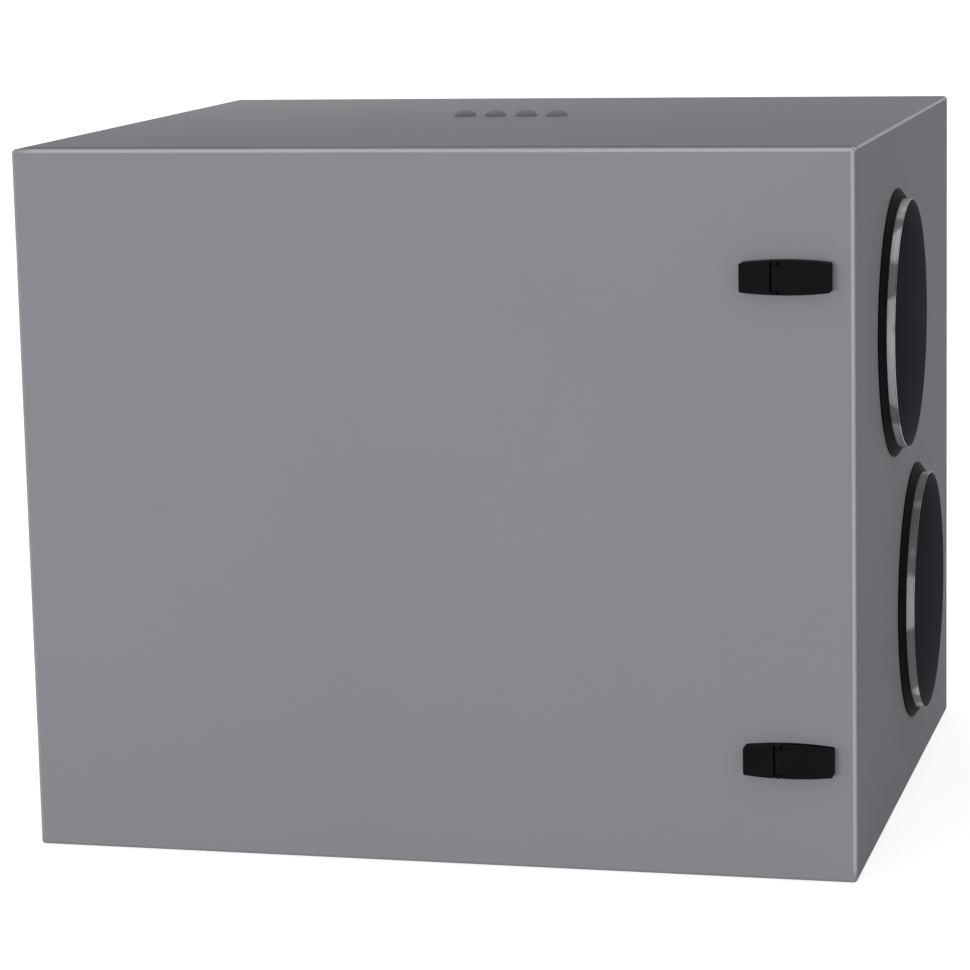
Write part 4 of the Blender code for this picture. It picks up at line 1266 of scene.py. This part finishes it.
class AIRUNIT_OT_panels(StepBase, bpy.types.Operator):
    """Smooth the rounded edges of the panels and the door, and fold the door's lip back"""

    bl_idname = "air_unit.panels"
    bl_label = "Panels and door"

    def execute(self, context):
        for node in ("base_panel", "top_panel", "back_panel", "left_side_panel", "right_side_panel"):
            panel = smooth_copy(node, f"{node}_sheet", finish_named("casing paint"))
            settle(panel, "cabinet", "casing_paint", node)
        door = smooth_copy("door_panel", "door_sheet", finish_named("door paint"))
        settle(door, "door", "door_paint", "door_panel")
        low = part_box("hinge_bracket_lower")
        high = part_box("hinge_bracket_upper")
        room = self.parts.leaf_room
        ends = (low[0].z - room, low[1].z + room, high[0].z - room, high[1].z + room)
        self.add_lip("door_lip_outer", self.round_the_door(ends[0], ends[3]))
        self.add_lip("door_lip_hinge_side", self.straight_side(ends[1], ends[2]))
        return {"FINISHED"}

    def straight_side(self, low_z, high_z):
        """The lip's outer and inner line between the two hinge leaves, as (x, z) pairs."""
        x = -SIDE_X
        return [((x, z), (x + self.parts.door_fold, z)) for z in (low_z, high_z)]

    def round_the_door(self, low_z, high_z):
        """The lip's outer and inner line from above the upper leaf, over the top and round to the lower one."""
        parts = self.parts
        outer = parts.corner_round
        inner = outer - parts.door_fold
        lines = []
        for radius in (outer, inner):
            left, right = -SIDE_X + outer, SIDE_X - outer
            bottom, top = outer, WALL_TOP - outer
            turn_left, turn_right = HINGE_X - PLANE_SLACK, HINGE_X + 4 * PLANE_SLACK
            line = [(left - radius, high_z)] + arc((left, top), radius, 180, 90, 6)
            line += [(turn_left, top + radius), (turn_right, top + radius)]
            line += arc((right, top), radius, 90, 0, 6) + arc((right, bottom), radius, 0, -90, 6)
            line += [(turn_right, bottom - radius), (turn_left, bottom - radius)]
            line += arc((left, bottom), radius, -90, -180, 6) + [(left - radius, low_z)]
            lines.append(line)
        return list(zip(*lines))

    def add_lip(self, name, line):
        """The lip stands on the rim's back. Left of the hinges' axis it is shorter, as it turns past the cabinet."""
        parts = self.parts
        front = DOOR_FRONT_Y + parts.door_rim
        sections = []
        for outer, inner in line:
            gap = parts.hinge_gap if outer[0] < HINGE_X else parts.fold_gap
            back = CASE_FRONT_Y - gap
            sections.append([(x, y, z) for (x, z), y in (
                (outer, front), (inner, front), (inner, back), (outer, back)
            )])
        lip = link(name, swept(sections, name), finish_named("door paint"))
        settle(lip, "door", "door_paint")


class AIRUNIT_OT_collars(StepBase, bpy.types.Operator):
    """Make the duct collars with their rolled rims, and the rubber seals round them"""

    bl_idname = "air_unit.collars"
    bl_label = "Duct collars"

    def execute(self, context):
        for side, sign in SIDES.items():
            for height in HEIGHTS:
                low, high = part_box(f"duct_collar_{side}_{height}")
                middle = (low + high) / 2
                centre = (sign * SIDE_X, middle.y, middle.z)
                radius = (high.z - low.z) / 2
                reach = max(abs(low.x), abs(high.x)) - SIDE_X
                self.add_collar(f"{side}_{height}", sign, centre, radius, reach)
                self.add_seal(f"{side}_{height}", sign, centre, radius)
        return {"FINISHED"}

    def add_collar(self, place, sign, centre, radius, reach):
        """The sheet goes through the wall. Its inside and the front of its rounded tip, the faces that do not face
        outward, take a dark painted shade.
        """
        sheet = self.parts.collar_sheet
        bead = self.parts.collar_bead
        inner = radius - sheet
        profile = [(INNER_X - SIDE_X, inner)]
        profile += arc((reach - bead, inner + bead), bead, -90, 180, 14)
        profile += [(reach - 2 * bead, radius), (INNER_X - SIDE_X, radius)]
        mesh = turned(profile, "x", centre, self.parts.round_steps, sign)
        piece = link(f"collar_{place}", mesh, finish_named("collar steel with painted reflections"))
        # Painted shade: faces that do not face outward get the dark material, where the collar's inside only lies in
        # shade.
        piece.data.materials.append(finish_named("painted collar shade"))
        for face in piece.data.polygons:
            outward = Vector((0, face.center.y - centre[1], face.center.z - centre[2])).normalized()
            if face.normal.dot(outward) < 0.7:
                face.material_index = 1
        settle(piece, "cabinet", "galvanised_steel", f"duct_collar_{place}")

    def add_seal(self, place, sign, centre, radius):
        """A tapered ring with a soft lip against the wall."""
        low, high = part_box(f"collar_seal_{place}")
        outer = (high.z - low.z) / 2
        length = max(abs(low.x), abs(high.x)) - SIDE_X
        lip = self.parts.seal_lip
        fit = PLANE_SLACK / 4
        profile = [(fit, radius + fit), (length - lip, radius + fit)]
        profile += arc((length - lip, radius + fit + lip), lip, -90, 70, 6)
        profile += arc((lip + fit, outer - lip), lip, 70, 180, 6)
        piece = link(
            f"seal_{place}",
            turned(profile, "x", centre, self.parts.round_steps, sign),
            finish_named("black rubber"),
        )
        settle(piece, "cabinet", "black_rubber", f"collar_seal_{place}")


class AIRUNIT_OT_glands(StepBase, bpy.types.Operator):
    """Make the domed cable glands on the top"""

    bl_idname = "air_unit.glands"
    bl_label = "Cable glands"

    def execute(self, context):
        for number in range(1, 5):
            node = f"cable_gland_{number}"
            low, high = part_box(node)
            middle = (low + high) / 2
            radius = (high.x - low.x) / 2
            height = high.z - WALL_TOP
            flange = self.parts.gland_flange
            foot = PLANE_SLACK / 4
            profile = [(foot, 0.0), (foot, radius - foot)]
            dome = radius
            steps = 12
            for i in range(steps):
                turn = math.pi / 2 * i / steps
                profile.append((flange + (height - flange) * math.sin(turn), dome * math.cos(turn)))
            profile.append((height, 0.0))
            mesh = turned(profile, "z", (middle.x, middle.y, WALL_TOP), 40)
            piece = link(f"gland_{number}", mesh, finish_named("grey rubber"))
            settle(piece, "cabinet", "grey_rubber", node)
        return {"FINISHED"}


class AIRUNIT_OT_latches(StepBase, bpy.types.Operator):
    """Make the latches with the soft edges of a moulding"""

    bl_idname = "air_unit.latches"
    bl_label = "Latches"

    def execute(self, context):
        for height in HEIGHTS:
            for kind in ("base", "lever"):
                node = f"latch_{kind}_{height}"
                piece = smooth_copy(
                    node, f"{height}_latch_{kind}", finish_named("black plastic"), self.parts.latch_round
                )
                settle(piece, body_of(node), "black_plastic", node)
        return {"FINISHED"}


class AIRUNIT_OT_exchanger(StepBase, bpy.types.Operator):
    """Make the heat exchanger's plates"""

    bl_idname = "air_unit.exchanger"
    bl_label = "Heat exchanger"

    def execute(self, context):
        low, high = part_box("exchanger_core")
        middle = (low + high) / 2
        sheet = self.parts.plate_sheet
        length = high.y - low.y - sheet
        count = round(length / self.parts.plate_pitch) + 1
        plates = grow(
            "exchanger_plates",
            plate_stack_tree(),
            {
                "Count": count,
                "Pitch": length / (count - 1),
                "Side": (high.x - low.x) / math.sqrt(2),
                "Sheet": sheet,
                "Fold": self.parts.plate_fold,
                "Start": (middle.x, low.y + sheet / 2, middle.z),
                "Material": finish_named("aluminium"),
            },
        )
        settle(plates, "cabinet", "aluminium", "exchanger_core")
        return {"FINISHED"}


def reach_of(node):
    """The nearest and the farthest distance of a node from the plane X = 0."""
    low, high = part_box(node)
    return sorted((abs(low.x), abs(high.x)))


def shroud_point(parts, fan, turn, inset):
    """A point of the shroud's curve, moved inward by inset, as (along, radius)."""
    along = fan["start"] + (fan["depth"] + inset) * math.sin(turn)
    rise = (fan["rim"] - parts.inlet_radius) * (1 - math.cos(turn))
    return along, parts.inlet_radius + rise - inset * math.cos(turn)


class AIRUNIT_OT_fans(StepBase, bpy.types.Operator):
    """Make the fans: wall plate, rolled inlet, shroud, blades, disc, motor and motor plate"""

    bl_idname = "air_unit.fans"
    bl_label = "Fans"

    def execute(self, context):
        ring = ring_tree()
        for side, sign in SIDES.items():
            low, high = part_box(f"fan_shroud_{side}")
            fan = {
                "side": side,
                "sign": sign,
                "centre": (0.0, (low.y + high.y) / 2, (low.z + high.z) / 2),
                "start": reach_of(f"fan_shroud_{side}")[0],
                "depth": high.x - low.x - self.parts.impeller_sheet,
                "rim": (high.z - low.z) / 2,
                "back": reach_of(f"fan_impeller_{side}")[1],
            }
            self.add_inlet(fan)
            self.add_impeller(fan, ring)
            self.add_motor(fan)
        return {"FINISHED"}

    def add_inlet(self, fan):
        """The wall plate, and the rolled inlet whose flange is screwed to it."""
        parts = self.parts
        side, sign, centre = fan["side"], fan["sign"], fan["centre"]
        low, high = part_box(f"fan_plate_{side}")
        root, tip = reach_of(f"fan_plate_{side}")
        zinc = finish_named("galvanised steel")
        face = root + parts.fan_sheet
        throat = parts.inlet_radius - 2 * parts.impeller_sheet - (fan["start"] - face)
        hole = throat + parts.nozzle_curl + parts.impeller_sheet
        mesh = pierced_plate(
            (low.y, low.z), (high.y, high.z), sign * root, sign * face, centre[1:], hole, parts.round_steps
        )
        settle(link(f"fan_wall_{side}", mesh, zinc), "cabinet", "galvanised_steel", f"fan_plate_{side}")
        front = root - parts.fold_sheet
        sheet = parts.fold_sheet
        inner = []
        outer = []
        for i in range(13):
            turn = math.pi / 2 * i / 12
            along = front + (tip - front) * (1 - math.cos(turn))
            radius = throat + parts.nozzle_curl * (1 - math.sin(turn))
            inner.append((along, radius))
            outer.append((along + sheet * math.cos(turn), radius + sheet * math.sin(turn)))
        rim = hole + parts.nozzle_flange
        profile = [(front, rim), (front, inner[0][1] + sheet)] + inner
        profile += outer[::-1] + [(root, outer[0][1] + sheet), (root, rim)]
        inlet = link(f"fan_inlet_{side}", turned(profile, "x", centre, parts.round_steps, sign), zinc)
        settle(inlet, "cabinet", "galvanised_steel")
        spots = self.around(centre, sign * front, (hole + rim) / 2, 8, -sign)
        add_fixings(f"inlet_screws_{side}", "cabinet", spots, parts.screw_radius, parts.screw_height)

    def around(self, centre, x, radius, count, facing):
        """Spots for fixings on a circle round the fan's axis."""
        spots = []
        for i in range(count):
            turn = 2 * math.pi * (i + 0.5) / count
            place = (x, centre[1] + radius * math.cos(turn), centre[2] + radius * math.sin(turn))
            spots.append((place, (facing, 0, 0)))
        return spots

    def add_impeller(self, fan, ring):
        """The shroud, the blades behind it and the disc they stand on."""
        parts = self.parts
        side, sign, centre = fan["side"], fan["sign"], fan["centre"]
        sheet = parts.impeller_sheet
        metal = finish_named("aluminium")
        turns = [math.pi / 2 * i / 12 for i in range(13)]
        profile = [shroud_point(parts, fan, turn, 0.0) for turn in turns]
        profile += [shroud_point(parts, fan, turn, sheet) for turn in reversed(turns)]
        shroud = link(f"shroud_{side}", turned(profile, "x", centre, parts.round_steps, sign), metal)
        settle(shroud, "cabinet", "aluminium", f"fan_shroud_{side}")
        back = fan["back"]
        profile = [(back - sheet, 0.0)]
        profile += arc((back - sheet / 2, fan["rim"] - sheet / 2), sheet / 2, 180, 0, 6)
        profile.append((back, 0.0))
        disc = link(f"fan_disc_{side}", turned(profile, "x", centre, parts.round_steps, sign), metal)
        settle(disc, "cabinet", "aluminium", f"fan_impeller_{side}")
        values = {"Count": parts.blade_count, "Centre": centre, "Material": metal}
        blades = grow(f"fan_blades_{side}", ring, values, self.blade_mesh(fan))
        smooth(blades.data)
        settle(blades, "cabinet", "aluminium")

    def blade_mesh(self, fan):
        """One backward-curved blade. Its front edge follows the shroud and its foot stands in the disc."""
        parts = self.parts
        steps = 14
        inset = parts.impeller_sheet * 0.9
        tip = fan["rim"] - parts.blade_inset
        line = []
        for i in range(steps + 1):
            share = i / steps
            radius = parts.blade_foot + (tip - parts.blade_foot) * share
            angle = -parts.blade_sweep * share
            height = (fan["rim"] - radius) / (fan["rim"] - parts.inlet_radius + inset)
            front = fan["start"] + (fan["depth"] + inset) * math.sin(math.acos(min(1.0, height)))
            front = max(front, fan["start"] + parts.blade_lead)
            line.append((Vector((radius * math.cos(angle), radius * math.sin(angle))), front))
        end = fan["back"] - parts.impeller_sheet / 2
        sections = []
        for i, (point, front) in enumerate(line):
            along = (line[min(i + 1, steps)][0] - line[max(i - 1, 0)][0]).normalized()
            across = Vector((-along.y, along.x)) * parts.blade_sheet / 2
            corners = (
                (point + across, front), (point - across, front), (point - across, end), (point + across, end)
            )
            sections.append([(fan["sign"] * x, p.x, p.y) for p, x in corners])
        return swept(sections, "blade")

    def add_motor(self, fan):
        """The rotor's drum with the stator's flange behind a gap, and the plate on its four stays."""
        parts = self.parts
        side, sign, centre = fan["side"], fan["sign"], fan["centre"]
        low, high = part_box(f"fan_motor_{side}")
        near, far = reach_of(f"fan_motor_{side}")
        radius = (high.z - low.z) / 2
        edge = parts.motor_round
        gap = parts.motor_gap
        flange = far - parts.motor_flange
        profile = [(near, 0.0)] + arc((near + edge, radius - edge), edge, 180, 90, 6)
        profile += [(flange - gap, radius), (flange - gap, radius - edge), (flange, radius - edge)]
        profile += [(flange, radius), (far, radius), (far, 0.0)]
        motor = link(
            f"motor_{side}", turned(profile, "x", centre, parts.round_steps, sign), finish_named("black plastic")
        )
        settle(motor, "cabinet", "black_plastic", f"fan_motor_{side}")

        node = f"fan_stays_{side}"
        low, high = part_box(node)
        start, outer = reach_of(node)
        half = (high.z - low.z) / 2
        zinc = finish_named("galvanised steel")
        x_low, x_high = sorted((sign * (outer - parts.fan_sheet), sign * outer))
        plate = block(
            (x_low, centre[1] - half, centre[2] - half), (x_high, centre[1] + half, centre[2] + half)
        )
        settle(link(f"motor_plate_{side}", plate, zinc), "cabinet", "galvanised_steel", node)
        reach = half - parts.stay_border
        nuts = []
        for number in range(4):
            y = centre[1] + reach * (-1) ** (number // 2)
            z = centre[2] + reach * (-1) ** number
            rod = [(start, 0.0), (start, parts.stay_radius), (outer, parts.stay_radius), (outer, 0.0)]
            stay = link(f"stay_{side}_{number + 1}", turned(rod, "x", (0.0, y, z), 24, sign), zinc)
            settle(stay, "cabinet", "galvanised_steel")
            nuts.append(((sign * outer, y, z), (sign, 0, 0)))
        nut = parts.stay_radius
        add_fixings(f"stay_nuts_{side}", "cabinet", nuts, nut * 1.6, nut * 0.9, 6, 0.0)
        bolts = self.around(centre, sign * outer, parts.motor_bolt_ring, 4, sign)
        add_fixings(f"motor_bolts_{side}", "cabinet", bolts, nut, nut * 0.7)


class AIRUNIT_OT_fittings(StepBase, bpy.types.Operator):
    """Round the sheet parts' edges, and make the hem, the lid, the screws and the rivets"""

    bl_idname = "air_unit.fittings"
    bl_label = "Fittings and fixings"

    def execute(self, context):
        self.round_sheets()
        self.frame_exchanger()
        self.fix_front()
        self.fix_door()
        self.fix_control_box()
        self.fix_back()
        return {"FINISHED"}

    def round_sheets(self):
        zinc = finish_named("galvanised steel")
        steel = "galvanised_steel"
        thin = self.parts.sheet_round
        folded = self.parts.box_round
        jobs = [
            ("door_gasket", self.parts.gasket_round, finish_named("black rubber"), "black_rubber"),
            ("drain_tray", thin, finish_named("aluminium"), "aluminium"),
        ]
        jobs += [(f"filter_frame_{side}", folded, zinc, steel) for side in SIDES]
        jobs += [(f"hinge_bracket_{height}", thin, zinc, steel) for height in HEIGHTS]
        jobs += [(f"latch_keeper_{height}", thin, zinc, steel) for height in HEIGHTS]
        for node, width, finish, slot in jobs:
            settle(smooth_copy(node, f"{node}_rounded", finish, width), body_of(node), slot, node)

    def frame_exchanger(self):
        """The folded hem round the exchanger's front plate, and its rivets."""
        parts = self.parts
        low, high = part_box("exchanger_front_plate")
        centre = (low + high) / 2
        reach = (high.x - low.x) / 2
        front = low.y - parts.fold_sheet
        inner = reach - parts.hem_width * math.sqrt(2)
        hem = diamond_frame(centre, reach - PLANE_SLACK, inner, front, low.y)
        settle(link("exchanger_hem", hem, finish_named("galvanised steel")), "cabinet", "galvanised_steel")
        along = (reach + inner) / 2
        spots = []
        for i in range(4):
            turn = Matrix.Rotation(math.pi / 2 * i, 3, "Y")
            for share in spaced(0.1, 0.9, 6):
                place = turn @ Vector((along * share, 0, along * (1 - share)))
                spots.append(((centre.x + place.x, front, centre.z + place.z), (0, -1, 0)))
        add_fixings("exchanger_rivets", "cabinet", spots, parts.rivet_radius, parts.rivet_height)

    def fix_front(self):
        """Screws in the hinges' leaves and in the keepers."""
        parts = self.parts
        spots = []
        for height in HEIGHTS:
            low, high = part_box(f"hinge_bracket_{height}")
            for z in spaced(low.z, high.z, 7)[1::4]:
                spots.append(((high.x - parts.screw_border, high.y - parts.leaf_sheet, z), (0, -1, 0)))
            low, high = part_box(f"latch_keeper_{height}")
            for z in spaced(low.z, high.z, 7)[1::4]:
                spots.append((((low.x + high.x) / 2, low.y, z), (0, -1, 0)))
        add_fixings("front_screws", "cabinet", spots, parts.screw_radius, parts.screw_height)

    def fix_door(self):
        """Rivets round the door's inner skin, and the screws that go through to the latches."""
        parts = self.parts
        _, door_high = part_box("door_panel")
        edge = parts.plug_gap + parts.rivet_inset
        side = INNER_X - edge
        low_z = INNER_FLOOR_Z + edge
        high_z = INNER_TOP_Z - edge
        places = [(x, z) for x in spaced(-side, side, 9) for z in (low_z, high_z)]
        places += [(x, z) for x in (-side, side) for z in spaced(low_z, high_z, 8)[1:-1]]
        spots = [((x, door_high.y, z), (0, 1, 0)) for x, z in places]
        add_fixings("door_rivets", "door", spots, parts.rivet_radius, parts.rivet_height)
        spots = []
        for height in HEIGHTS:
            low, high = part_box(f"latch_base_{height}")
            for share in (0.12, 0.62):
                x = low.x + (high.x - low.x) * share
                spots.append(((x, door_high.y, (low.z + high.z) / 2), (0, 1, 0)))
        add_fixings("latch_screws", "door", spots, parts.screw_radius * 1.3, parts.screw_height * 1.3)

    def fix_control_box(self):
        """The lid on the control box's front, and its screws."""
        parts = self.parts
        low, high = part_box("control_box")
        border = parts.lid_border
        front = low.y - parts.fold_sheet
        lid = block((low.x + border, front, low.z + border), (high.x - border, low.y, high.z - border))
        settle(
            link("control_box_lid", lid, finish_named("galvanised steel")), "cabinet", "galvanised_steel"
        )
        inner = border * 2.5
        spots = []
        for x in spaced(low.x + inner, high.x - inner, 4):
            for z in (low.z + inner, high.z - inner):
                spots.append(((x, front, z), (0, -1, 0)))
        add_fixings("lid_screws", "cabinet", spots, parts.rivet_radius, parts.rivet_height)

    def fix_back(self):
        """Rivets round the back panel."""
        parts = self.parts
        side = SIDE_X - parts.rivet_inset
        low_z = parts.rivet_inset
        high_z = WALL_TOP - parts.rivet_inset
        places = [(x, z) for x in spaced(-side, side, 10) for z in (low_z, high_z)]
        places += [(x, z) for x in (-side, side) for z in spaced(low_z, high_z, 9)[1:-1]]
        spots = [((x, CASE_BACK_Y, z), (0, 1, 0)) for x, z in places]
        rivets = add_fixings("back_rivets", "cabinet", spots, parts.rivet_radius, parts.rivet_height, recess=0.0)
        rivets.data.materials.clear()
        rivets.data.materials.append(finish_named("casing paint"))


class AIRUNIT_OT_filters(StepBase, bpy.types.Operator):
    """Make the pleated filter fleece"""

    bl_idname = "air_unit.filters"
    bl_label = "Filters"

    def execute(self, context):
        tree = pleat_tree()
        for side in SIDES:
            node = f"filter_media_{side}"
            low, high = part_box(node)
            middle = (low + high) / 2
            sheet = self.parts.pleat_sheet
            folds = 2 * round((high.y - low.y) / self.parts.pleat_pitch)
            fleece = grow(
                f"pleats_{side}",
                tree,
                {
                    "Start": (middle.x, low.y + sheet, middle.z),
                    "End": (middle.x, high.y - sheet, middle.z),
                    "Folds": folds,
                    "Depth": high.x - low.x - 2 * sheet,
                    "Sheet": sheet,
                    "Height": high.z - low.z,
                    "Fold radius": self.parts.pleat_round,
                    "Material": finish_named("filter fleece"),
                },
            )
            smooth(fleece.data, 50)
            settle(fleece, "cabinet", "filter_cloth", node)
        return {"FINISHED"}


class AIRUNIT_OT_studio(StepBase, bpy.types.Operator):
    """Make the camera, the lamps, the pale floor and the white background"""

    bl_idname = "air_unit.studio"
    bl_label = "Studio"

    def execute(self, context):
        studio = context.scene.air_unit_studio
        context.scene.view_settings.view_transform = "Standard"
        self.add_camera(context, studio)
        middle = (cad_low + cad_high) / 2
        add_lamp("Key lamp", (-1.0, -7.5, 0.45), middle, (4.0, 0.8), studio.key_power)
        add_lamp("Top lamp", (-0.7, 0.9, 1.7), (-0.4, 0.3, WALL_TOP), (0.6, 0.6), studio.top_power)
        self.add_floor(studio)
        self.add_world(context, studio)
        return {"FINISHED"}

    def add_camera(self, context, studio):
        data = bpy.data.cameras.new("Camera")
        data.lens = studio.lens
        data.clip_end = 50.0
        camera = bpy.data.objects.new("Camera", data)
        context.scene.collection.objects.link(camera)
        place = Vector(studio.camera_place)
        aim = (Vector(studio.camera_target) - place).to_track_quat("-Z", "Y").to_matrix()
        aim = aim @ Matrix.Rotation(-studio.camera_roll, 3, "Z")
        camera.matrix_world = Matrix.Translation(place) @ aim.to_4x4()
        context.scene.camera = camera

    def add_floor(self, studio):
        shape = bmesh.new()
        bmesh.ops.create_grid(shape, x_segments=1, y_segments=1, size=30.0)
        mesh = bpy.data.meshes.new("floor")
        shape.to_mesh(mesh)
        shape.free()
        made = bpy.data.materials.new("white floor")
        made.use_nodes = True
        tree = made.node_tree
        tree.nodes.clear()
        matt = step_node(tree, "ShaderNodeBsdfDiffuse", {"Color": (0.8, 0.8, 0.8, 1.0)})
        glow = step_node(tree, "ShaderNodeEmission", {"Color": (1, 1, 1, 1), "Strength": studio.floor_glow})
        seen = add_seen_rays(tree)
        lifted = step_node(tree, "ShaderNodeAddShader", {0: matt.outputs[0], 1: glow.outputs[0]})
        choose = step_node(
            tree, "ShaderNodeMixShader", {0: seen, 1: matt.outputs[0], 2: lifted.outputs[0]}
        )
        out = step_node(tree, "ShaderNodeOutputMaterial")
        tree.links.new(choose.outputs[0], out.inputs["Surface"])
        link("floor", mesh, made)

    def add_world(self, context, studio):
        world = bpy.data.worlds.new("White studio")
        context.scene.world = world
        world.use_nodes = True
        tree = world.node_tree
        tree.nodes.clear()
        room = step_node(
            tree, "ShaderNodeBackground", {"Color": (1, 1, 1, 1), "Strength": studio.ambient}
        )
        white = step_node(tree, "ShaderNodeBackground", {"Color": (1, 1, 1, 1), "Strength": 1.0})
        choose = step_node(
            tree,
            "ShaderNodeMixShader",
            {0: add_seen_rays(tree), 1: room.outputs[0], 2: white.outputs[0]},
        )
        out = step_node(tree, "ShaderNodeOutputWorld")
        tree.links.new(choose.outputs[0], out.inputs["Surface"])


def add_seen_rays(tree):
    """1 for rays that show the background itself: to the camera, in gloss and through glass."""
    rays = step_node(tree, "ShaderNodeLightPath")
    direct = reckon(tree, "MAXIMUM", rays.outputs["Is Camera Ray"], rays.outputs["Is Glossy Ray"])
    return reckon(tree, "MAXIMUM", direct, rays.outputs["Is Transmission Ray"])


def add_lamp(name, place, target, size, power):
    data = bpy.data.lights.new(name, "AREA")
    data.shape = "RECTANGLE"
    data.size, data.size_y = size
    data.energy = power
    lamp = bpy.data.objects.new(name, data)
    bpy.context.scene.collection.objects.link(lamp)
    lamp.location = place
    lamp.visible_camera = False
    lamp.visible_glossy = False
    lamp.rotation_euler = (Vector(target) - Vector(place)).to_track_quat("-Z", "Y").to_euler()
    return lamp


class AIRUNIT_PT_panel(bpy.types.Panel):
    """Steps and values of the dressing"""

    bl_idname = "AIRUNIT_PT_panel"
    bl_label = "Air handling unit"
    bl_space_type = "VIEW_3D"
    bl_region_type = "UI"
    bl_category = "Air unit"

    def draw(self, context):
        scene = context.scene
        for step in STEPS:
            self.layout.operator(step.bl_idname)
        for group in (scene.air_unit_finish, scene.air_unit_parts, scene.air_unit_studio):
            column = self.layout.box().column()
            for name in group.bl_rna.properties.keys():
                if name not in ("rna_type", "name"):
                    column.prop(group, name)


STEPS = (
    AIRUNIT_OT_studio,
    AIRUNIT_OT_finishes,
    AIRUNIT_OT_panels,
    AIRUNIT_OT_collars,
    AIRUNIT_OT_glands,
    AIRUNIT_OT_latches,
    AIRUNIT_OT_exchanger,
    AIRUNIT_OT_filters,
    AIRUNIT_OT_fans,
    AIRUNIT_OT_fittings,
)
GROUPS = {
    "air_unit_finish": AIRUNIT_PG_finish,
    "air_unit_parts": AIRUNIT_PG_parts,
    "air_unit_studio": AIRUNIT_PG_studio,
}


def register():
    for kind in (*GROUPS.values(), *STEPS, AIRUNIT_PT_panel):
        bpy.utils.register_class(kind)
    for name, kind in GROUPS.items():
        setattr(bpy.types.Scene, name, PointerProperty(type=kind))


def unregister():
    for name in GROUPS:
        delattr(bpy.types.Scene, name)
    for kind in (AIRUNIT_PT_panel, *reversed(STEPS), *GROUPS.values()):
        bpy.utils.unregister_class(kind)


def clear_start():
    """Removes what a new Blender file holds besides the frame."""
    for name in ("Cube", "Light", "Camera"):
        old = bpy.data.objects.get(name)
        if old is not None:
            bpy.data.objects.remove(old, do_unlink=True)


def main():
    clear_start()
    register()
    bpy.ops.air_unit.studio()
    bpy.ops.air_unit.finishes()
    bpy.ops.air_unit.panels()
    bpy.ops.air_unit.collars()
    bpy.ops.air_unit.glands()
    bpy.ops.air_unit.latches()
    bpy.ops.air_unit.exchanger()
    bpy.ops.air_unit.filters()
    bpy.ops.air_unit.fans()
    bpy.ops.air_unit.fittings()


if __name__ == "__main__":
    main()
